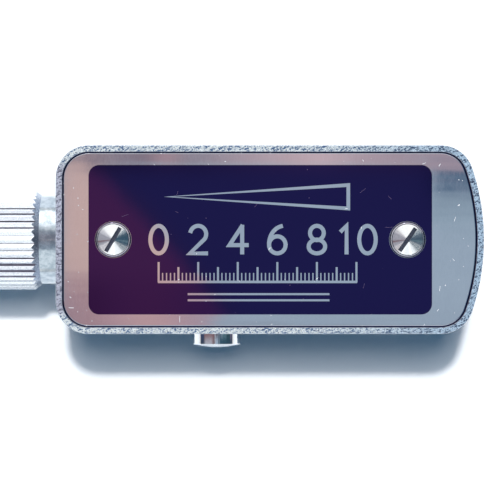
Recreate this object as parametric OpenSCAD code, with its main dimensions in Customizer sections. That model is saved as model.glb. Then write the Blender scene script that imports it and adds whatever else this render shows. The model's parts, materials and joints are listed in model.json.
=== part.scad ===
// Clockwork self-timer that screws into a camera's cable-release socket.
// Millimetres. +X runs from the release tip to the case's far end and +Z out of the name plate.
// The origin is the release tip's shoulder, on the plunger's axis.

/* [Case] */
// Length of the case
case_len = 42; // [38:0.5:50]
// Width of the case
case_w = 18.5; // [18.2:0.1:21]
// Depth of the case
case_d = 12.5; // [12.4:0.1:15]
// Wall of the drawn case
wall = 0.6; // [0.5:0.05:0.7]
// Corner radius of the case outline
corner_r = 3.25; // [2.8:0.05:3.6]
// Radius of the bulging far end
end_r = 22; // [19:1:40]
// Rounding of the back edge
back_edge_r = 1.4; // [1:0.1:1.5]

/* [Name plate] */
// Thickness of the name plate
plate_t = 0.6; // [0.5:0.05:0.7]
// How far the case's rim stands above the name plate
rim_stand = 0.15; // [0.1:0.05:0.3]
// Gap between the name plate and the case wall
plate_gap = 0.12; // [0.08:0.02:0.2]

/* [Plate screws] */
// Diameter of the heads
screw_head_d = 3.4; // [3:0.1:3.8]
// Height of the heads
screw_head_t = 0.7; // [0.6:0.05:0.8]
// How far the heads stand out of the plate
screw_proud = 0.4; // [0.3:0.05:0.45]
// Thread diameter
screw_d = 1.6; // [1.4:0.1:1.8]
// Width of the slots
slot_w = 0.4; // [0.3:0.05:0.5]
// Depth of the slots
slot_depth = 0.35; // [0.25:0.05:0.4]
// From the case's near end to the first screw
screw_near = 5.64; // [5.4:0.1:6.4]
// From the case's far end to the second screw
screw_far = 7.5; // [7.3:0.1:8]
// Direction of the first slot
slot_near_angle = 59; // [0:1:180]
// Direction of the second slot
slot_far_angle = 55; // [0:1:180]

/* [Coupling collar] */
// Diameter over the knurl
knurl_d = 9.9; // [9.4:0.1:11]
// Length of the knurled band
knurl_len = 7.4; // [6:0.2:9]
// Number of knurl teeth
knurl_teeth = 40; // [30:1:48]
// Depth of the knurl
knurl_depth = 0.32; // [0.2:0.02:0.4]
// Chamfer at the knurl's front edge
knurl_chamfer = 0.35; // [0.2:0.05:0.5]
// Length of the cone from the knurl to the neck
collar_cone = 0.5; // [0.4:0.1:0.8]
// Diameter of the smooth neck
neck_d = 8.7; // [8:0.1:9]
// Length of the neck in front of the case
neck_len = 1.7; // [1.2:0.1:2.4]
// Diameter of the spigot that turns in the block
spigot_d = 5; // [4.6:0.1:5.4]

/* [Release tip] */
// Length of the threaded nose
tip_len = 5; // [4:0.25:6.5]
// Thread diameter at the shoulder
tip_d = 3.9; // [3.6:0.1:4]
// Thread diameter at the end
tip_end_d = 2.9; // [2.8:0.1:3.1]
// Thread pitch
tip_pitch = 0.5; // [0.4:0.1:0.7]
// Thread depth
tip_thread = 0.2; // [0.15:0.05:0.25]
// Depth of the tip's root in the collar
tip_root = 1; // [0.8:0.1:1.4]

/* [Plunger] */
// Diameter of the release pin's free end
pin_d = 1.5; // [1.3:0.05:1.6]
// Diameter of the release pin's shank
pin_shank_d = 1.9; // [1.8:0.05:2]
// Travel of the pin
stroke = 7; // [6:0.25:7.25]
// Diameter of the rod behind the pin
rod_d = 3; // [2.8:0.1:3.2]
// Thread diameter of the rod's end
stud_d = 2; // [1.8:0.1:2.1]
// Width of the rod's nut across its flats
nut_flats = 4; // [3.6:0.1:4.2]
// Thickness of the nut
nut_t = 0.9; // [0.7:0.1:1]
// Thickness of the rack's lug
lug_t = 1.8; // [1.6:0.1:1.9]
// Width of the rack's lug
lug_w = 4.4; // [4:0.1:4.8]
// Thickness of the rack slide
rack_t = 1; // [0.8:0.05:1.1]
// Drop of the rack slide's top face below the plunger's axis
rack_drop = 0.6; // [0.5:0.05:0.7]
// Width of each long bar of the rack slide
rack_bar = 1.3; // [1.2:0.05:1.4]

/* [Winding] */
// From the case's near end to the winding axis
knob_offset = 20.4; // [20.2:0.1:20.8]
// Diameter of the winding knob
knob_d = 14.4; // [13:0.2:16]
// Height of the winding knob
knob_t = 2.95; // [2.6:0.05:3.6]
// Gap between the knob and the case's back
knob_gap = 0.2; // [0.15:0.05:0.4]
// Number of knurl teeth round the knob
knob_teeth = 60; // [48:1:72]
// Diameter of the recess for the knob's screw
knob_recess_d = 5; // [4.6:0.1:6]
// Diameter of the arbor in its back bearing
arbor_d = 2.4; // [2.2:0.1:2.5]
// Diameter of the arbor under the mainspring
hub_d = 2.9; // [2.7:0.1:3.1]
// Turns of the mainspring
spring_turns = 5; // [4:1:6]
// Thickness of the mainspring's strip
spring_strip = 0.2; // [0.15:0.05:0.25]
// From the winding axis to the mainspring's post
spring_reach = 5.6; // [5.4:0.05:5.7]

/* [Start button] */
// Diameter of the button
button_d = 4.8; // [4.4:0.1:5.2]
// How far the button stands out of the case
button_proud = 1.2; // [1.1:0.05:1.6]
// Travel of the button
button_travel = 0.8; // [0.6:0.05:0.85]
// From the case's near end to the button
button_offset = 15.7; // [15.5:0.05:15.8]
// Diameter of the button's stem
stem_d = 1.6; // [1.4:0.1:1.7]

/* [Movement frame] */
// Thickness of the back plate
back_plate_t = 0.8; // [0.7:0.05:0.9]
// Thickness of the middle plate
middle_plate_t = 0.5; // [0.4:0.05:0.5]
// Thickness of the front plate
front_plate_t = 0.8; // [0.7:0.05:0.9]
// Height of the screw bosses on the front plate
boss_h = 0.7; // [0.65:0.05:0.75]
// Diameter of the pillars
pillar_d = 2.2; // [2:0.05:2.2]
// From the case's near end to the near pillars
pillar_near = 8.4; // [8:0.1:8.8]
// From the case's far end to the far pillars
pillar_far = 4.3; // [4:0.1:4.8]
// Diameter of the small screws
small_screw_d = 1; // [0.8:0.1:1.1]

/* [Gear train] */
// Module of the rack and its pinion
rack_module = 0.4; // [0.39:0.005:0.405]
// Module of the train, at its full size
train_module = 0.25; // [0.245:0.005:0.25]
// Room that the full-size train takes from the winding axis to the far wall
train_room = 21; // [21:0.1:22]
// Room that the full-size train takes from the winding axis to a long wall
train_side_room = 8.65; // [8.65:0.05:9]
// Room beside the great wheel, where the stop lever swings
lever_room = 2.95; // [2.9:0.05:3.2]
// Height that the full train takes between the middle and the front plate
train_height = 3.9; // [3.9:0.05:4.2]
// Thickness of the train's wheels
wheel_t = 0.4; // [0.3:0.05:0.45]
// Diameter of the train's arbors
train_arbor_d = 0.9; // [0.7:0.05:0.9]
// Diameter of their pivots
pivot_d = 0.6; // [0.5:0.05:0.65]
// Diameter of the escape wheel
escape_d = 5.2; // [5.15:0.05:5.2]
// From the escape arbor to the pallet arbor
pallet_distance = 3.5; // [3.5:0.02:3.54]
// Radius of the balance weight's rim
balance_r = 4.6; // [4.4:0.05:4.7]

/* [Fits] */
// Radial clearance of turning and sliding fits
run_clear = 0.03; // [0.02:0.005:0.04]
// Radial clearance of seated and threaded fits
seat_clear = 0.01; // [0.005:0.005:0.02]
// Axial clearance between moving pieces
end_play = 0.1; // [0.06:0.01:0.12]

/* [Hidden] */
$fn = 48;
ARC_STEPS = 6;
END_STEPS = 12;
EPS = 0.01;

// Lengthwise places
case_x0 = knurl_len + collar_cone + neck_len;
case_x1 = case_x0 + case_len;
case_in = case_x0 + wall;
knob_x = case_x0 + knob_offset;
button_x = case_x0 + button_offset;
screw_x = [case_x0 + screw_near, case_x1 - screw_far];
half_w = case_w / 2;

// Heights
back_z = -case_d / 2;
floor_z = back_z + wall;
rim_z = case_d / 2;
plate_z1 = rim_z - rim_stand;
plate_z0 = plate_z1 - plate_t;
back_plate_z1 = floor_z + back_plate_t;
front_z1 = plate_z0 - boss_h;
front_z0 = front_z1 - front_plate_t;
rack_z1 = -rack_drop;
rack_z0 = rack_z1 - rack_t;
rack_headroom = 0.2;
middle_z0 = rack_z1 + rack_headroom;
middle_z1 = middle_z0 + middle_plate_t;

// Plates
plate_inset = wall + plate_gap;
movement_gap = 0.3;
movement_inset = wall + movement_gap;
back_plate_inset = back_edge_r + end_play;

// Plate screws and their recess
head_ring = 0.15;
head_crown = 0.12;
recess_depth = screw_head_t - screw_proud;
screw_hole_r = screw_d / 2 + 2 * end_play;
boss_r = screw_head_d / 2;
screw_tip_z = front_z0 + end_play;
back_head_r = screw_head_d / 2 - 0.2;

// Collar, block and tip
neck_clear = 0.1;
neck_end = case_in - end_play;
block_len = 3.35;
block_x0 = case_in + end_play / 2;
block_x1 = block_x0 + block_len;
block_half = 4.2;
clip_t = 0.3;
clip_w = 0.8;
clip_groove = 0.3;
clip_x = block_x1 + end_play / 2;
spigot_end = clip_x + clip_t + clip_groove;
bore_r = rod_d / 2 + neck_clear;
tip_bore_r = pin_shank_d / 2 + 2 * run_clear;

// Plunger and rack slide
rod_x0 = tip_root + 2 * end_play;
pin_x0 = -tip_len - stroke;
pin_seat = 1.8;
pin_edge = 0.2;
shoulder_x = spigot_end + end_play;
lug_x0 = shoulder_x + nut_t + end_play / 2;
lug_top = 2.2;
pinion_teeth = 12;
pinion_r = rack_module * pinion_teeth / 2;
pinion_tip_r = pinion_r + rack_module;
rack_slack = 0.06;
rack_addendum = 0.9;
rack_dedendum = 1.25;
rack_tooth_root = pinion_r + rack_dedendum * rack_module;
slot_end_gap = 0.7;
slot_x1 = knob_x + pinion_tip_r + slot_end_gap;
slot_x0 = knob_x - pinion_tip_r - slot_end_gap - stroke;
slot_top = pinion_tip_r + 3 * end_play;
rack_y0 = -rack_tooth_root - rack_bar;
rack_y1 = slot_top + rack_bar;
rack_end = 1.5;

// Rack guides
guide_neck_r = 0.45;
guide_base_r = 0.9;
guide_head_t = 0.35;
guide_half = 1.3;
guide_gap = 1.5 * end_play;
guide_reach = 3.5;
guide_y = [rack_y0 - guide_neck_r - guide_gap, rack_y1 + guide_neck_r + guide_gap];
guide_x = [button_x - guide_half - guide_base_r - end_play, knob_x + guide_reach];

// Pillars: the middle one stands beside a rack guide, clear of it
pillar_edge = 0.05;
pillar_clear = 0.2;
pillar_y = half_w - back_plate_inset - pillar_d / 2 - pillar_edge;
pillar_near_x = case_x0 + pillar_near;
pillar_apart = pillar_d / 2 + guide_base_r + pillar_clear;
pillar_beside = min(pillar_y - guide_y[1], pillar_apart);
pillar_mid_x = guide_x[1] + sqrt(pow(pillar_apart, 2) - pow(pillar_beside, 2));
pillar_far_x = case_x1 - pillar_far;
tall_pillars = [for (s = [-1, 1]) [pillar_near_x, s * pillar_y]];
bridge_pillars = [[pillar_mid_x, pillar_y], [pillar_far_x, pillar_y], [pillar_far_x, -pillar_y]];
all_pillars = concat(tall_pillars, bridge_pillars);
block_screw_y = (spigot_d / 2 + block_half) / 2;
block_screws = [for (s = [-1, 1]) [(block_x0 + block_x1) / 2, s * block_screw_y]];
tenon_r = 0.6;
stud_r = 0.5;
stud_h = 1;
small_head_r = 1;
small_head_t = 0.5;
small_slot_w = 0.3;
small_screw_len = 2;

// Winding
knob_z1 = back_z - knob_gap;
knob_z0 = knob_z1 - knob_t;
knob_recess = 0.9;
knob_web = 0.9;
arbor_end_z = knob_z0 + knob_recess + knob_web;
knob_screw_head_r = 2;
knob_screw_head_t = 0.7;
knob_screw_r = 0.6;
knob_screw_bite = 1.2;
arbor_shank_r = 0.7;
arbor_top_r = 0.5;
hub_z0 = back_plate_z1 + end_play;
hub_z1 = rack_z0 - 3 * end_play;
pinion_z0 = rack_z0 - 2 * end_play;
pinion_z1 = middle_z0 - end_play / 2;
spring_z0 = back_plate_z1 + 2.5 * end_play;
spring_z1 = hub_z1 - end_play;
post_r = 0.5;
post_angle = -100;
post = [knob_x, 0] + spring_reach * [cos(post_angle), sin(post_angle)];

// Train: the room that it has, its counts, layers and centres
train_fit = min(
    (case_x1 - wall - knob_x) / train_room,
    (half_w - wall - lever_room) / (train_side_room - lever_room)
);
gear_m = train_module * train_fit;
great_teeth = 44;
second_pinion_teeth = 10;
second_teeth = 36;
third_pinion_teeth = 9;
third_teeth = 32;
escape_pinion_teeth = 8;
escape_teeth = 15;
layer_fit = (front_z0 - middle_z1) / train_height;
great_rise = 0.45 * layer_fit;
second_rise = 1.05 * layer_fit;
third_rise = 0.9 * layer_fit;
escape_rise = 0.8 * layer_fit;
great_z = middle_z1 + great_rise;
ratchet_z = great_z + wheel_t + end_play / 2;
ratchet_t = 0.35;
second_z = great_z + second_rise;
third_z = second_z + third_rise;
escape_z = third_z + escape_rise;
pinion_over = 0.2;
arbor_floor = middle_z1 + end_play;
arbor_roof = front_z0 - end_play;
winding = [knob_x, 0];
second_dir = -30;
third_dir = 40;
escape_dir = 53;
pallet_dir = -50;
second = winding + mesh_distance(great_teeth, second_pinion_teeth) * unit2(second_dir);
third = second + mesh_distance(second_teeth, third_pinion_teeth) * unit2(third_dir);
escape = third + mesh_distance(third_teeth, escape_pinion_teeth) * unit2(escape_dir);
pallet = escape + pallet_distance * train_fit * unit2(pallet_dir);
second_pinion_phase = mesh_phase(second_dir, 0, great_teeth, second_pinion_teeth);
third_pinion_phase = mesh_phase(third_dir, second_pinion_phase, second_teeth, third_pinion_teeth);
escape_pinion_phase = mesh_phase(escape_dir, third_pinion_phase, third_teeth, escape_pinion_teeth);

// Ratchet and click, on the great wheel
ratchet_teeth = 18;
ratchet_r = 2.6 * train_fit;
ratchet_depth = 0.4 * train_fit;
ratchet_lead = 5;
click_pivot_r = 4.4 * train_fit;
click_pivot_dir = 65;
click_tip_r = 2.42 * train_fit;
click_tip_dir = 95;
click_pivot = winding + click_pivot_r * unit2(click_pivot_dir);
click_tip = winding + click_tip_r * unit2(click_tip_dir);
click_pin_r = 0.25;
click_hub_r = 0.5;
click_nose_r = 0.1;

// Escapement
escape_r = escape_d / 2 * train_fit;
escape_depth = 0.75 * train_fit;
pallet_teeth = 3.5;
pallet_nib_r = 0.14 * train_fit;
pallet_arm_r = 0.3 * train_fit;
pallet_hub_r = 0.66;
pallet_span = pallet_teeth * 360 / escape_teeth;
nib_r = escape_r + pallet_nib_r + run_clear;
nibs = [for (s = [-1, 1]) escape + nib_r * unit2(pallet_dir + s * pallet_span / 2)];
escape_phase = pallet_dir + pallet_span / 2 + 360 / escape_teeth / 4;
balance_rim_r = balance_r * train_fit;
balance_rim = 1.2 * train_fit;
balance_hub_r = 1;
balance_arm_r = 0.55;
balance_z0 = middle_z1 + 5 * end_play;
balance_z1 = third_z - 4 * end_play;
balance_from = -140;
balance_to = -25;

// Stop lever and start button
lever_z0 = middle_z1 + 4 * end_play;
lever_t = 0.6;
lever_past_knob = 3.5;
lever_from_wall = 1.35;
lever_pivot = [knob_x + lever_past_knob, -half_w + wall + lever_from_wall];
lever_hub_r = 0.9;
lever_pin_r = 0.45;
lever_boss_r = 0.5;
lever_arm_r = 0.3;
lever_brake_arm_r = 0.5;
brake_dir = -110;
brake_r = 0.35;
brake_gap = 0.05;
brake = pallet + (balance_rim_r + brake_r + brake_gap) * unit2(brake_dir);
stem_gap = 0.05;
stem_reach = 3.35;
lever_boss = [button_x, -half_w + stem_reach];
button_rim = 0.4;
button_flange_r = button_d / 2 + button_rim;
button_flange_t = 0.3;
button_dome = 0.25;
button_edge = 0.25;
flange_y0 = -half_w + wall + end_play / 2;
flange_y1 = flange_y0 + button_flange_t;
stem_y1 = lever_boss[1] - lever_boss_r - stem_gap;
middle_x0 = button_x + button_flange_r + 2 * end_play;
button_spring_shut = 0.5;
guide_y0 = flange_y1 + button_travel + button_spring_shut;
guide_wall = 0.4;
guide_top = 1.6;
guide_foot = 1.8;
guide_screw_r = 0.7;
guide_slot_w = 0.24;
guide_screw_y = guide_y0 + guide_wall + guide_screw_r;
button_wire = 0.12;
button_coils = 3;
lever_wire = 0.2;
lever_coils = 2;
lever_coil_r = pillar_d / 2 + 2 * end_play;

// ---- Points and outlines ----

function unit2(a) = [cos(a), sin(a)];
function mesh_distance(n1, n2) = gear_m * (n1 + n2) / 2;

// Phase of a pinion whose gap faces a tooth of the wheel that it meshes with
function mesh_phase(dir, phase, n1, n2) =
    dir + 180 - (0.5 - (dir - phase) * n1 / 360) * 360 / n2;

function arc(c, r, a0, a1, first = 0, last = ARC_STEPS) =
    [for (i = [first:last]) c + r * unit2(a0 + (a1 - a0) * i / ARC_STEPS)];

// Case outline, inset by a distance: straight sides, rounded corners and a bulging far end
function case_outline(inset) =
    let (
        r = corner_r - inset,
        h = half_w - corner_r,
        big = [case_x1 - end_r, 0],
        fx = big[0] + sqrt(pow(end_r - corner_r, 2) - h * h),
        a = atan2(h, fx - big[0]),
        nx = case_x0 + corner_r
    )
    concat(
        [for (i = [0:END_STEPS]) big + (end_r - inset) * unit2(a * (2 * i / END_STEPS - 1))],
        arc([fx, h], r, a, 90, 1),
        arc([nx, h], r, 90, 180),
        arc([nx, -h], r, 180, 270),
        arc([fx, -h], r, 270, 360 - a, 0, ARC_STEPS - 1)
    );

function ring(inset, z) = [for (p = case_outline(inset)) [p[0], p[1], z]];

// Solid through rings of equal counts, closed by the first ring and the last
module skin(rings) {
    n = len(rings[0]);
    m = len(rings);
    polyhedron(
        points = [for (r = rings) each r],
        faces = concat(
            [[for (j = [0:n - 1]) j]],
            [for (i = [0:m - 2], j = [0:n - 1]) let (k = (j + 1) % n) each [
                [i * n + j, (i + 1) * n + j, (i + 1) * n + k],
                [i * n + j, (i + 1) * n + k, i * n + k]
            ]],
            [[for (j = [n - 1:-1:0]) (m - 1) * n + j]]
        ),
        convexity = 6
    );
}

// Tube along a path, with six sides; up is a direction that the path never takes
function tube_ring(path, i, r, up) =
    let (
        n = len(path),
        t = path[min(i + 1, n - 1)] - path[max(i - 1, 0)],
        u = cross(t, up),
        v = cross(u, t),
        a = u / norm(u),
        b = v / norm(v)
    )
    [for (k = [0:5]) path[i] + r * (a * cos(60 * k) - b * sin(60 * k))];

module tube(path, r, up) {
    skin([for (i = [0:len(path) - 1]) tube_ring(path, i, r, up)]);
}

// Strip of even thickness along a flat path
function side(path, i, off) =
    let (
        t = path[min(i + 1, len(path) - 1)] - path[max(i - 1, 0)],
        n = [-t[1], t[0]] / norm(t)
    )
    path[i] + off * n;

function ribbon(path, t) = concat(
    [for (i = [0:len(path) - 1]) side(path, i, -t / 2)],
    [for (i = [len(path) - 1:-1:0]) side(path, i, t / 2)]
);

// Arm with round ends of two radii
function arm(p, q, rp, rq) =
    let (a = atan2(q[1] - p[1], q[0] - p[0]))
    concat(arc(p, rp, a + 90, a + 270), arc(q, rq, a - 90, a + 90));

module at(p, z = 0) {
    translate([p[0], p[1], z]) children();
}

module bolt_circle(points) {
    for (p = points)
        at(p)
            children();
}

// ---- Gear outlines ----

PRESSURE = 20;

function inv(a) = tan(a) - a * PI / 180;

// Half angle of a tooth at radius r, with its flank cut back for backlash
function flank(r, rp, m, slack) =
    let (
        rb = rp * cos(PRESSURE),
        a = acos(min(1, rb / max(r, rb)))
    )
    ((PI * m / 2 - slack) / (2 * rp) + inv(PRESSURE) - inv(a)) * 180 / PI;

function gear(n, m, phase = 0, addendum = 1, dedendum = 1.25, slack = 0.05) =
    let (
        rp = m * n / 2,
        ro = rp + addendum * m,
        rr = rp - dedendum * m,
        mids = [rr, max(rr, rp * cos(PRESSURE)), rp, (rp + ro) / 2, ro],
        low = rr < rp * cos(PRESSURE) ? 0 : 1
    )
    [for (i = [0:n - 1]) each concat(
        [for (k = [low:4]) mids[k] * unit2(phase + i * 360 / n - flank(mids[k], rp, m, slack))],
        [for (k = [4:-1:low]) mids[k] * unit2(phase + i * 360 / n + flank(mids[k], rp, m, slack))]
    )];

// Ratchet: each tooth has a steep front, and its back slopes down to the next tooth
function saw(n, r, depth, phase) =
    [for (i = [0:n - 1]) let (a = phase + i * 360 / n) each [
        (r - depth) * unit2(a - 2),
        r * unit2(a - 0.5),
        r * unit2(a + 0.5)
    ]];

// Escape wheel: slender teeth, sloping behind and steep in front
function escape_teeth_points(n, r, depth, phase) =
    [for (i = [0:n - 1]) let (a = phase + i * 360 / n) each [
        (r - depth) * unit2(a - 6),
        r * unit2(a - 0.6),
        r * unit2(a + 0.6),
        (r - depth) * unit2(a + 2)
    ]];

function window(r0, r1, a0, a1) =
    concat(arc([0, 0], r1, a0, a1), arc([0, 0], r0, a1, a0));

// Wheel blank with spokes: teeth outside, windows between hub and rim, and a bore.
// The hub's and the rim's radii are in modules.
module wheel(points, hub, rim, bore_r, spokes, spoke = 16) {
    linear_extrude(wheel_t)
        difference() {
            polygon(points);
            circle(bore_r);
            for (i = [0:spokes - 1])
                polygon(window(hub * gear_m, rim * gear_m,
                    i * 360 / spokes + spoke, (i + 1) * 360 / spokes));
        }
}

// Train arbor: pinion, body and two pivots
module train_arbor(teeth, phase, pinion_z, pinion_h) {
    translate([0, 0, arbor_floor])
        cylinder(d = train_arbor_d, h = arbor_roof - arbor_floor);
    translate([0, 0, middle_z0])
        cylinder(d = pivot_d, h = front_z1 - middle_z0);
    if (teeth > 0)
        translate([0, 0, pinion_z])
            linear_extrude(pinion_h)
                polygon(gear(teeth, gear_m, phase, addendum = 0.9, dedendum = 1.35));
}

module small_screw(head_z, length) {
    difference() {
        translate([0, 0, head_z])
            cylinder(r = small_head_r, h = small_head_t);
        translate([-small_head_r, -small_slot_w / 2, head_z + small_head_t / 2])
            cube([2 * small_head_r, small_slot_w, small_head_t]);
    }
    translate([0, 0, head_z - length])
        cylinder(d = small_screw_d, h = length);
}

// ---- Case and its cover ----

module case_shell() {
    steps = 5;
    in_r = back_edge_r - wall;
    outer = [for (i = [0:steps]) let (a = 90 * i / steps)
        ring(back_edge_r * (1 - sin(a)), back_z + back_edge_r * (1 - cos(a)))];
    inner = [for (i = [steps:-1:0]) let (a = 90 * i / steps)
        ring(wall + in_r * (1 - sin(a)), floor_z + in_r * (1 - cos(a)))];
    color("Silver")
        difference() {
            skin(concat(outer, [ring(0, rim_z), ring(wall, rim_z)], inner));
            translate([case_x0 - 1, 0, 0])
                rotate([0, 90, 0])
                    cylinder(r = neck_d / 2 + neck_clear, h = wall + 2);
            translate([button_x, -half_w - 1, 0])
                rotate([-90, 0, 0])
                    cylinder(r = button_d / 2 + end_play / 2, h = wall + 2);
            translate([knob_x, 0, back_z - 1])
                cylinder(r = arbor_d / 2 + 2 * end_play, h = wall + 2);
            for (x = screw_x)
                translate([x, 0, back_z])
                    back_screw_cone(2 * seat_clear);
        }
}

// Countersink of a back screw, and the same cone for its head
module back_screw_cone(grow) {
    translate([0, 0, -EPS])
        cylinder(r1 = back_head_r + grow, r2 = screw_d / 2 + grow, h = wall + 2 * EPS);
}

module name_plate() {
    color("Gainsboro")
        difference() {
            translate([0, 0, plate_z0])
                linear_extrude(plate_t)
                    polygon(case_outline(plate_inset));
            for (x = screw_x) {
                translate([x, 0, plate_z1 - recess_depth])
                    cylinder(r = screw_head_d / 2 + head_ring, h = recess_depth + 1);
                translate([x, 0, plate_z0 - 1])
                    cylinder(r = screw_hole_r, h = plate_t + 2);
            }
        }
}

module plate_screw(angle) {
    r = screw_head_d / 2;
    under = plate_z1 - recess_depth;
    difference() {
        union() {
            translate([0, 0, under])
                cylinder(r = r, h = screw_head_t - head_crown);
            translate([0, 0, under + screw_head_t - head_crown])
                cylinder(r1 = r, r2 = r - head_crown, h = head_crown);
            translate([0, 0, screw_tip_z])
                cylinder(d = screw_d, h = under - screw_tip_z + EPS);
        }
        rotate([0, 0, angle])
            translate([-r - 1, -slot_w / 2, under + screw_head_t - slot_depth])
                cube([2 * r + 2, slot_w, 1]);
    }
}

module plate_screws() {
    color("WhiteSmoke") {
        at([screw_x[0], 0])
            plate_screw(slot_near_angle);
        at([screw_x[1], 0])
            plate_screw(slot_far_angle);
    }
}

module back_screws() {
    color("Silver")
        for (x = screw_x)
            translate([x, 0, back_z])
                difference() {
                    union() {
                        cylinder(r1 = back_head_r, r2 = screw_d / 2, h = wall);
                        cylinder(d = screw_d, h = wall + back_plate_t);
                    }
                    translate([-screw_head_d, -slot_w / 2, -1])
                        cube([2 * screw_head_d, slot_w, 1 + slot_depth - end_play]);
                }
}

// ---- Movement frame ----

module nose_block() {
    color("DarkKhaki")
        difference() {
            translate([block_x0, -block_half, back_plate_z1])
                cube([block_x1 - block_x0, 2 * block_half, front_z0 - back_plate_z1]);
            translate([block_x0 - 1, 0, 0])
                rotate([0, 90, 0])
                    cylinder(r = spigot_d / 2 + run_clear, h = block_x1 - block_x0 + 2);
            bolt_circle(block_screws)
                translate([0, 0, front_z0 - small_screw_len])
                    cylinder(r = small_screw_d / 2 + seat_clear, h = small_screw_len + 1);
        }
}

module back_plate() {
    color("Goldenrod")
        difference() {
            translate([0, 0, floor_z])
                linear_extrude(back_plate_t)
                    polygon(case_outline(back_plate_inset));
            translate([0, 0, floor_z - 1]) {
                at(winding)
                    cylinder(r = arbor_d / 2 + run_clear, h = back_plate_t + 2);
                bolt_circle(all_pillars)
                    cylinder(r = tenon_r + seat_clear, h = back_plate_t + 2);
                for (x = guide_x, y = guide_y)
                    at([x, y])
                        cylinder(r = guide_neck_r + seat_clear, h = back_plate_t + 2);
                at(post)
                    cylinder(r = post_r + seat_clear, h = back_plate_t + 2);
                at([button_x, guide_screw_y])
                    cylinder(r = small_screw_d / 2 + seat_clear, h = back_plate_t + 2);
                for (x = screw_x)
                    at([x, 0])
                        cylinder(r = screw_d / 2 + seat_clear, h = back_plate_t + 2);
            }
        }
}

module middle_plate() {
    color("Goldenrod")
        difference() {
            translate([0, 0, middle_z0])
                linear_extrude(middle_plate_t)
                    intersection() {
                        polygon(case_outline(movement_inset));
                        translate([middle_x0, -half_w])
                            square([case_len, case_w]);
                    }
            translate([0, 0, middle_z0 - 1]) {
                at(winding)
                    cylinder(r = arbor_shank_r + run_clear, h = middle_plate_t + 2);
                bolt_circle([second, third, escape, pallet])
                    cylinder(r = pivot_d / 2 + run_clear, h = middle_plate_t + 2);
                bolt_circle(bridge_pillars)
                    cylinder(r = stud_r + seat_clear, h = middle_plate_t + 2);
                for (y = guide_y)
                    at([guide_x[1], y])
                        cylinder(r = guide_neck_r + seat_clear, h = middle_plate_t + 2);
                at(lever_pivot)
                    cylinder(r = lever_pin_r + seat_clear, h = middle_plate_t + 2);
            }
        }
}

module front_plate() {
    color("Goldenrod")
        difference() {
            union() {
                translate([0, 0, front_z0])
                    linear_extrude(front_plate_t)
                        polygon(case_outline(movement_inset));
                for (x = screw_x)
                    translate([x, 0, front_z0])
                        cylinder(r = boss_r, h = plate_z0 - front_z0);
            }
            translate([0, 0, front_z0 - 1]) {
                at(winding)
                    cylinder(r = arbor_top_r + run_clear, h = front_plate_t + 2);
                bolt_circle([second, third, escape, pallet])
                    cylinder(r = pivot_d / 2 + run_clear, h = front_plate_t + 2);
                bolt_circle(concat(all_pillars, block_screws))
                    cylinder(r = small_screw_d / 2 + seat_clear, h = front_plate_t + 2);
                for (x = screw_x)
                    at([x, 0])
                        cylinder(r = screw_d / 2 + seat_clear, h = plate_z0 - front_z0 + 2);
            }
        }
}

// Screw hole in the top of a pillar
module pillar_hole() {
    translate([0, 0, front_z0 - small_screw_len])
        cylinder(r = small_screw_d / 2 + seat_clear, h = small_screw_len + 1);
}

module pillars() {
    color("Tan") {
        bolt_circle(tall_pillars)
            difference() {
                union() {
                    translate([0, 0, back_plate_z1])
                        cylinder(d = pillar_d, h = front_z0 - back_plate_z1);
                    translate([0, 0, floor_z])
                        cylinder(r = tenon_r, h = back_plate_t + EPS);
                }
                pillar_hole();
            }
        bolt_circle(bridge_pillars) {
            translate([0, 0, back_plate_z1])
                cylinder(d = pillar_d, h = middle_z0 - back_plate_z1);
            translate([0, 0, floor_z])
                cylinder(r = tenon_r, h = back_plate_t + EPS);
            translate([0, 0, middle_z0 - EPS])
                cylinder(r = stud_r, h = middle_plate_t + stud_h);
            difference() {
                translate([0, 0, middle_z1])
                    cylinder(d = pillar_d, h = front_z0 - middle_z1);
                translate([0, 0, middle_z1 - 1])
                    cylinder(r = stud_r + seat_clear, h = stud_h + 1);
                pillar_hole();
            }
        }
    }
}

module pillar_screws() {
    color("SteelBlue")
        bolt_circle(concat(all_pillars, block_screws))
            small_screw(front_z1, front_plate_t + small_screw_len - end_play);
}

module rack_guides() {
    color("Tan")
        for (x = guide_x, y = guide_y)
            at([x, y]) {
                far = x == guide_x[1];
                translate([0, 0, back_plate_z1])
                    cylinder(r = guide_base_r, h = rack_z0 - end_play - back_plate_z1);
                translate([0, 0, floor_z])
                    cylinder(r = guide_neck_r, h = (far ? middle_z1 : middle_z0) - floor_z);
                if (!far)
                    translate([0, 0, rack_z1 + end_play])
                        cylinder(r = guide_base_r - end_play, h = guide_head_t);
            }
}

module spring_post() {
    color("Tan")
        at(post, floor_z)
            cylinder(r = post_r, h = spring_z1 + end_play / 2 - floor_z);
}

// ---- Collar and tip ----

function knurl(r, n, depth) =
    [for (i = [0:2 * n - 1]) (r - depth * (i % 2)) * unit2(180 * i / n)];

// Knurled bar with a chamfer at its start and a taper at its end
module knurled(r, n, length, chamfer, drop, taper) {
    over = 0.05;
    intersection() {
        linear_extrude(length)
            polygon(knurl(r, n, knurl_depth));
        rotate_extrude()
            polygon([
                [0, 0],
                [r - chamfer, 0],
                [r + over, chamfer + over],
                [r + over, length - taper - over * taper / drop],
                [r - drop, length],
                [0, length]
            ]);
    }
}

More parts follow.
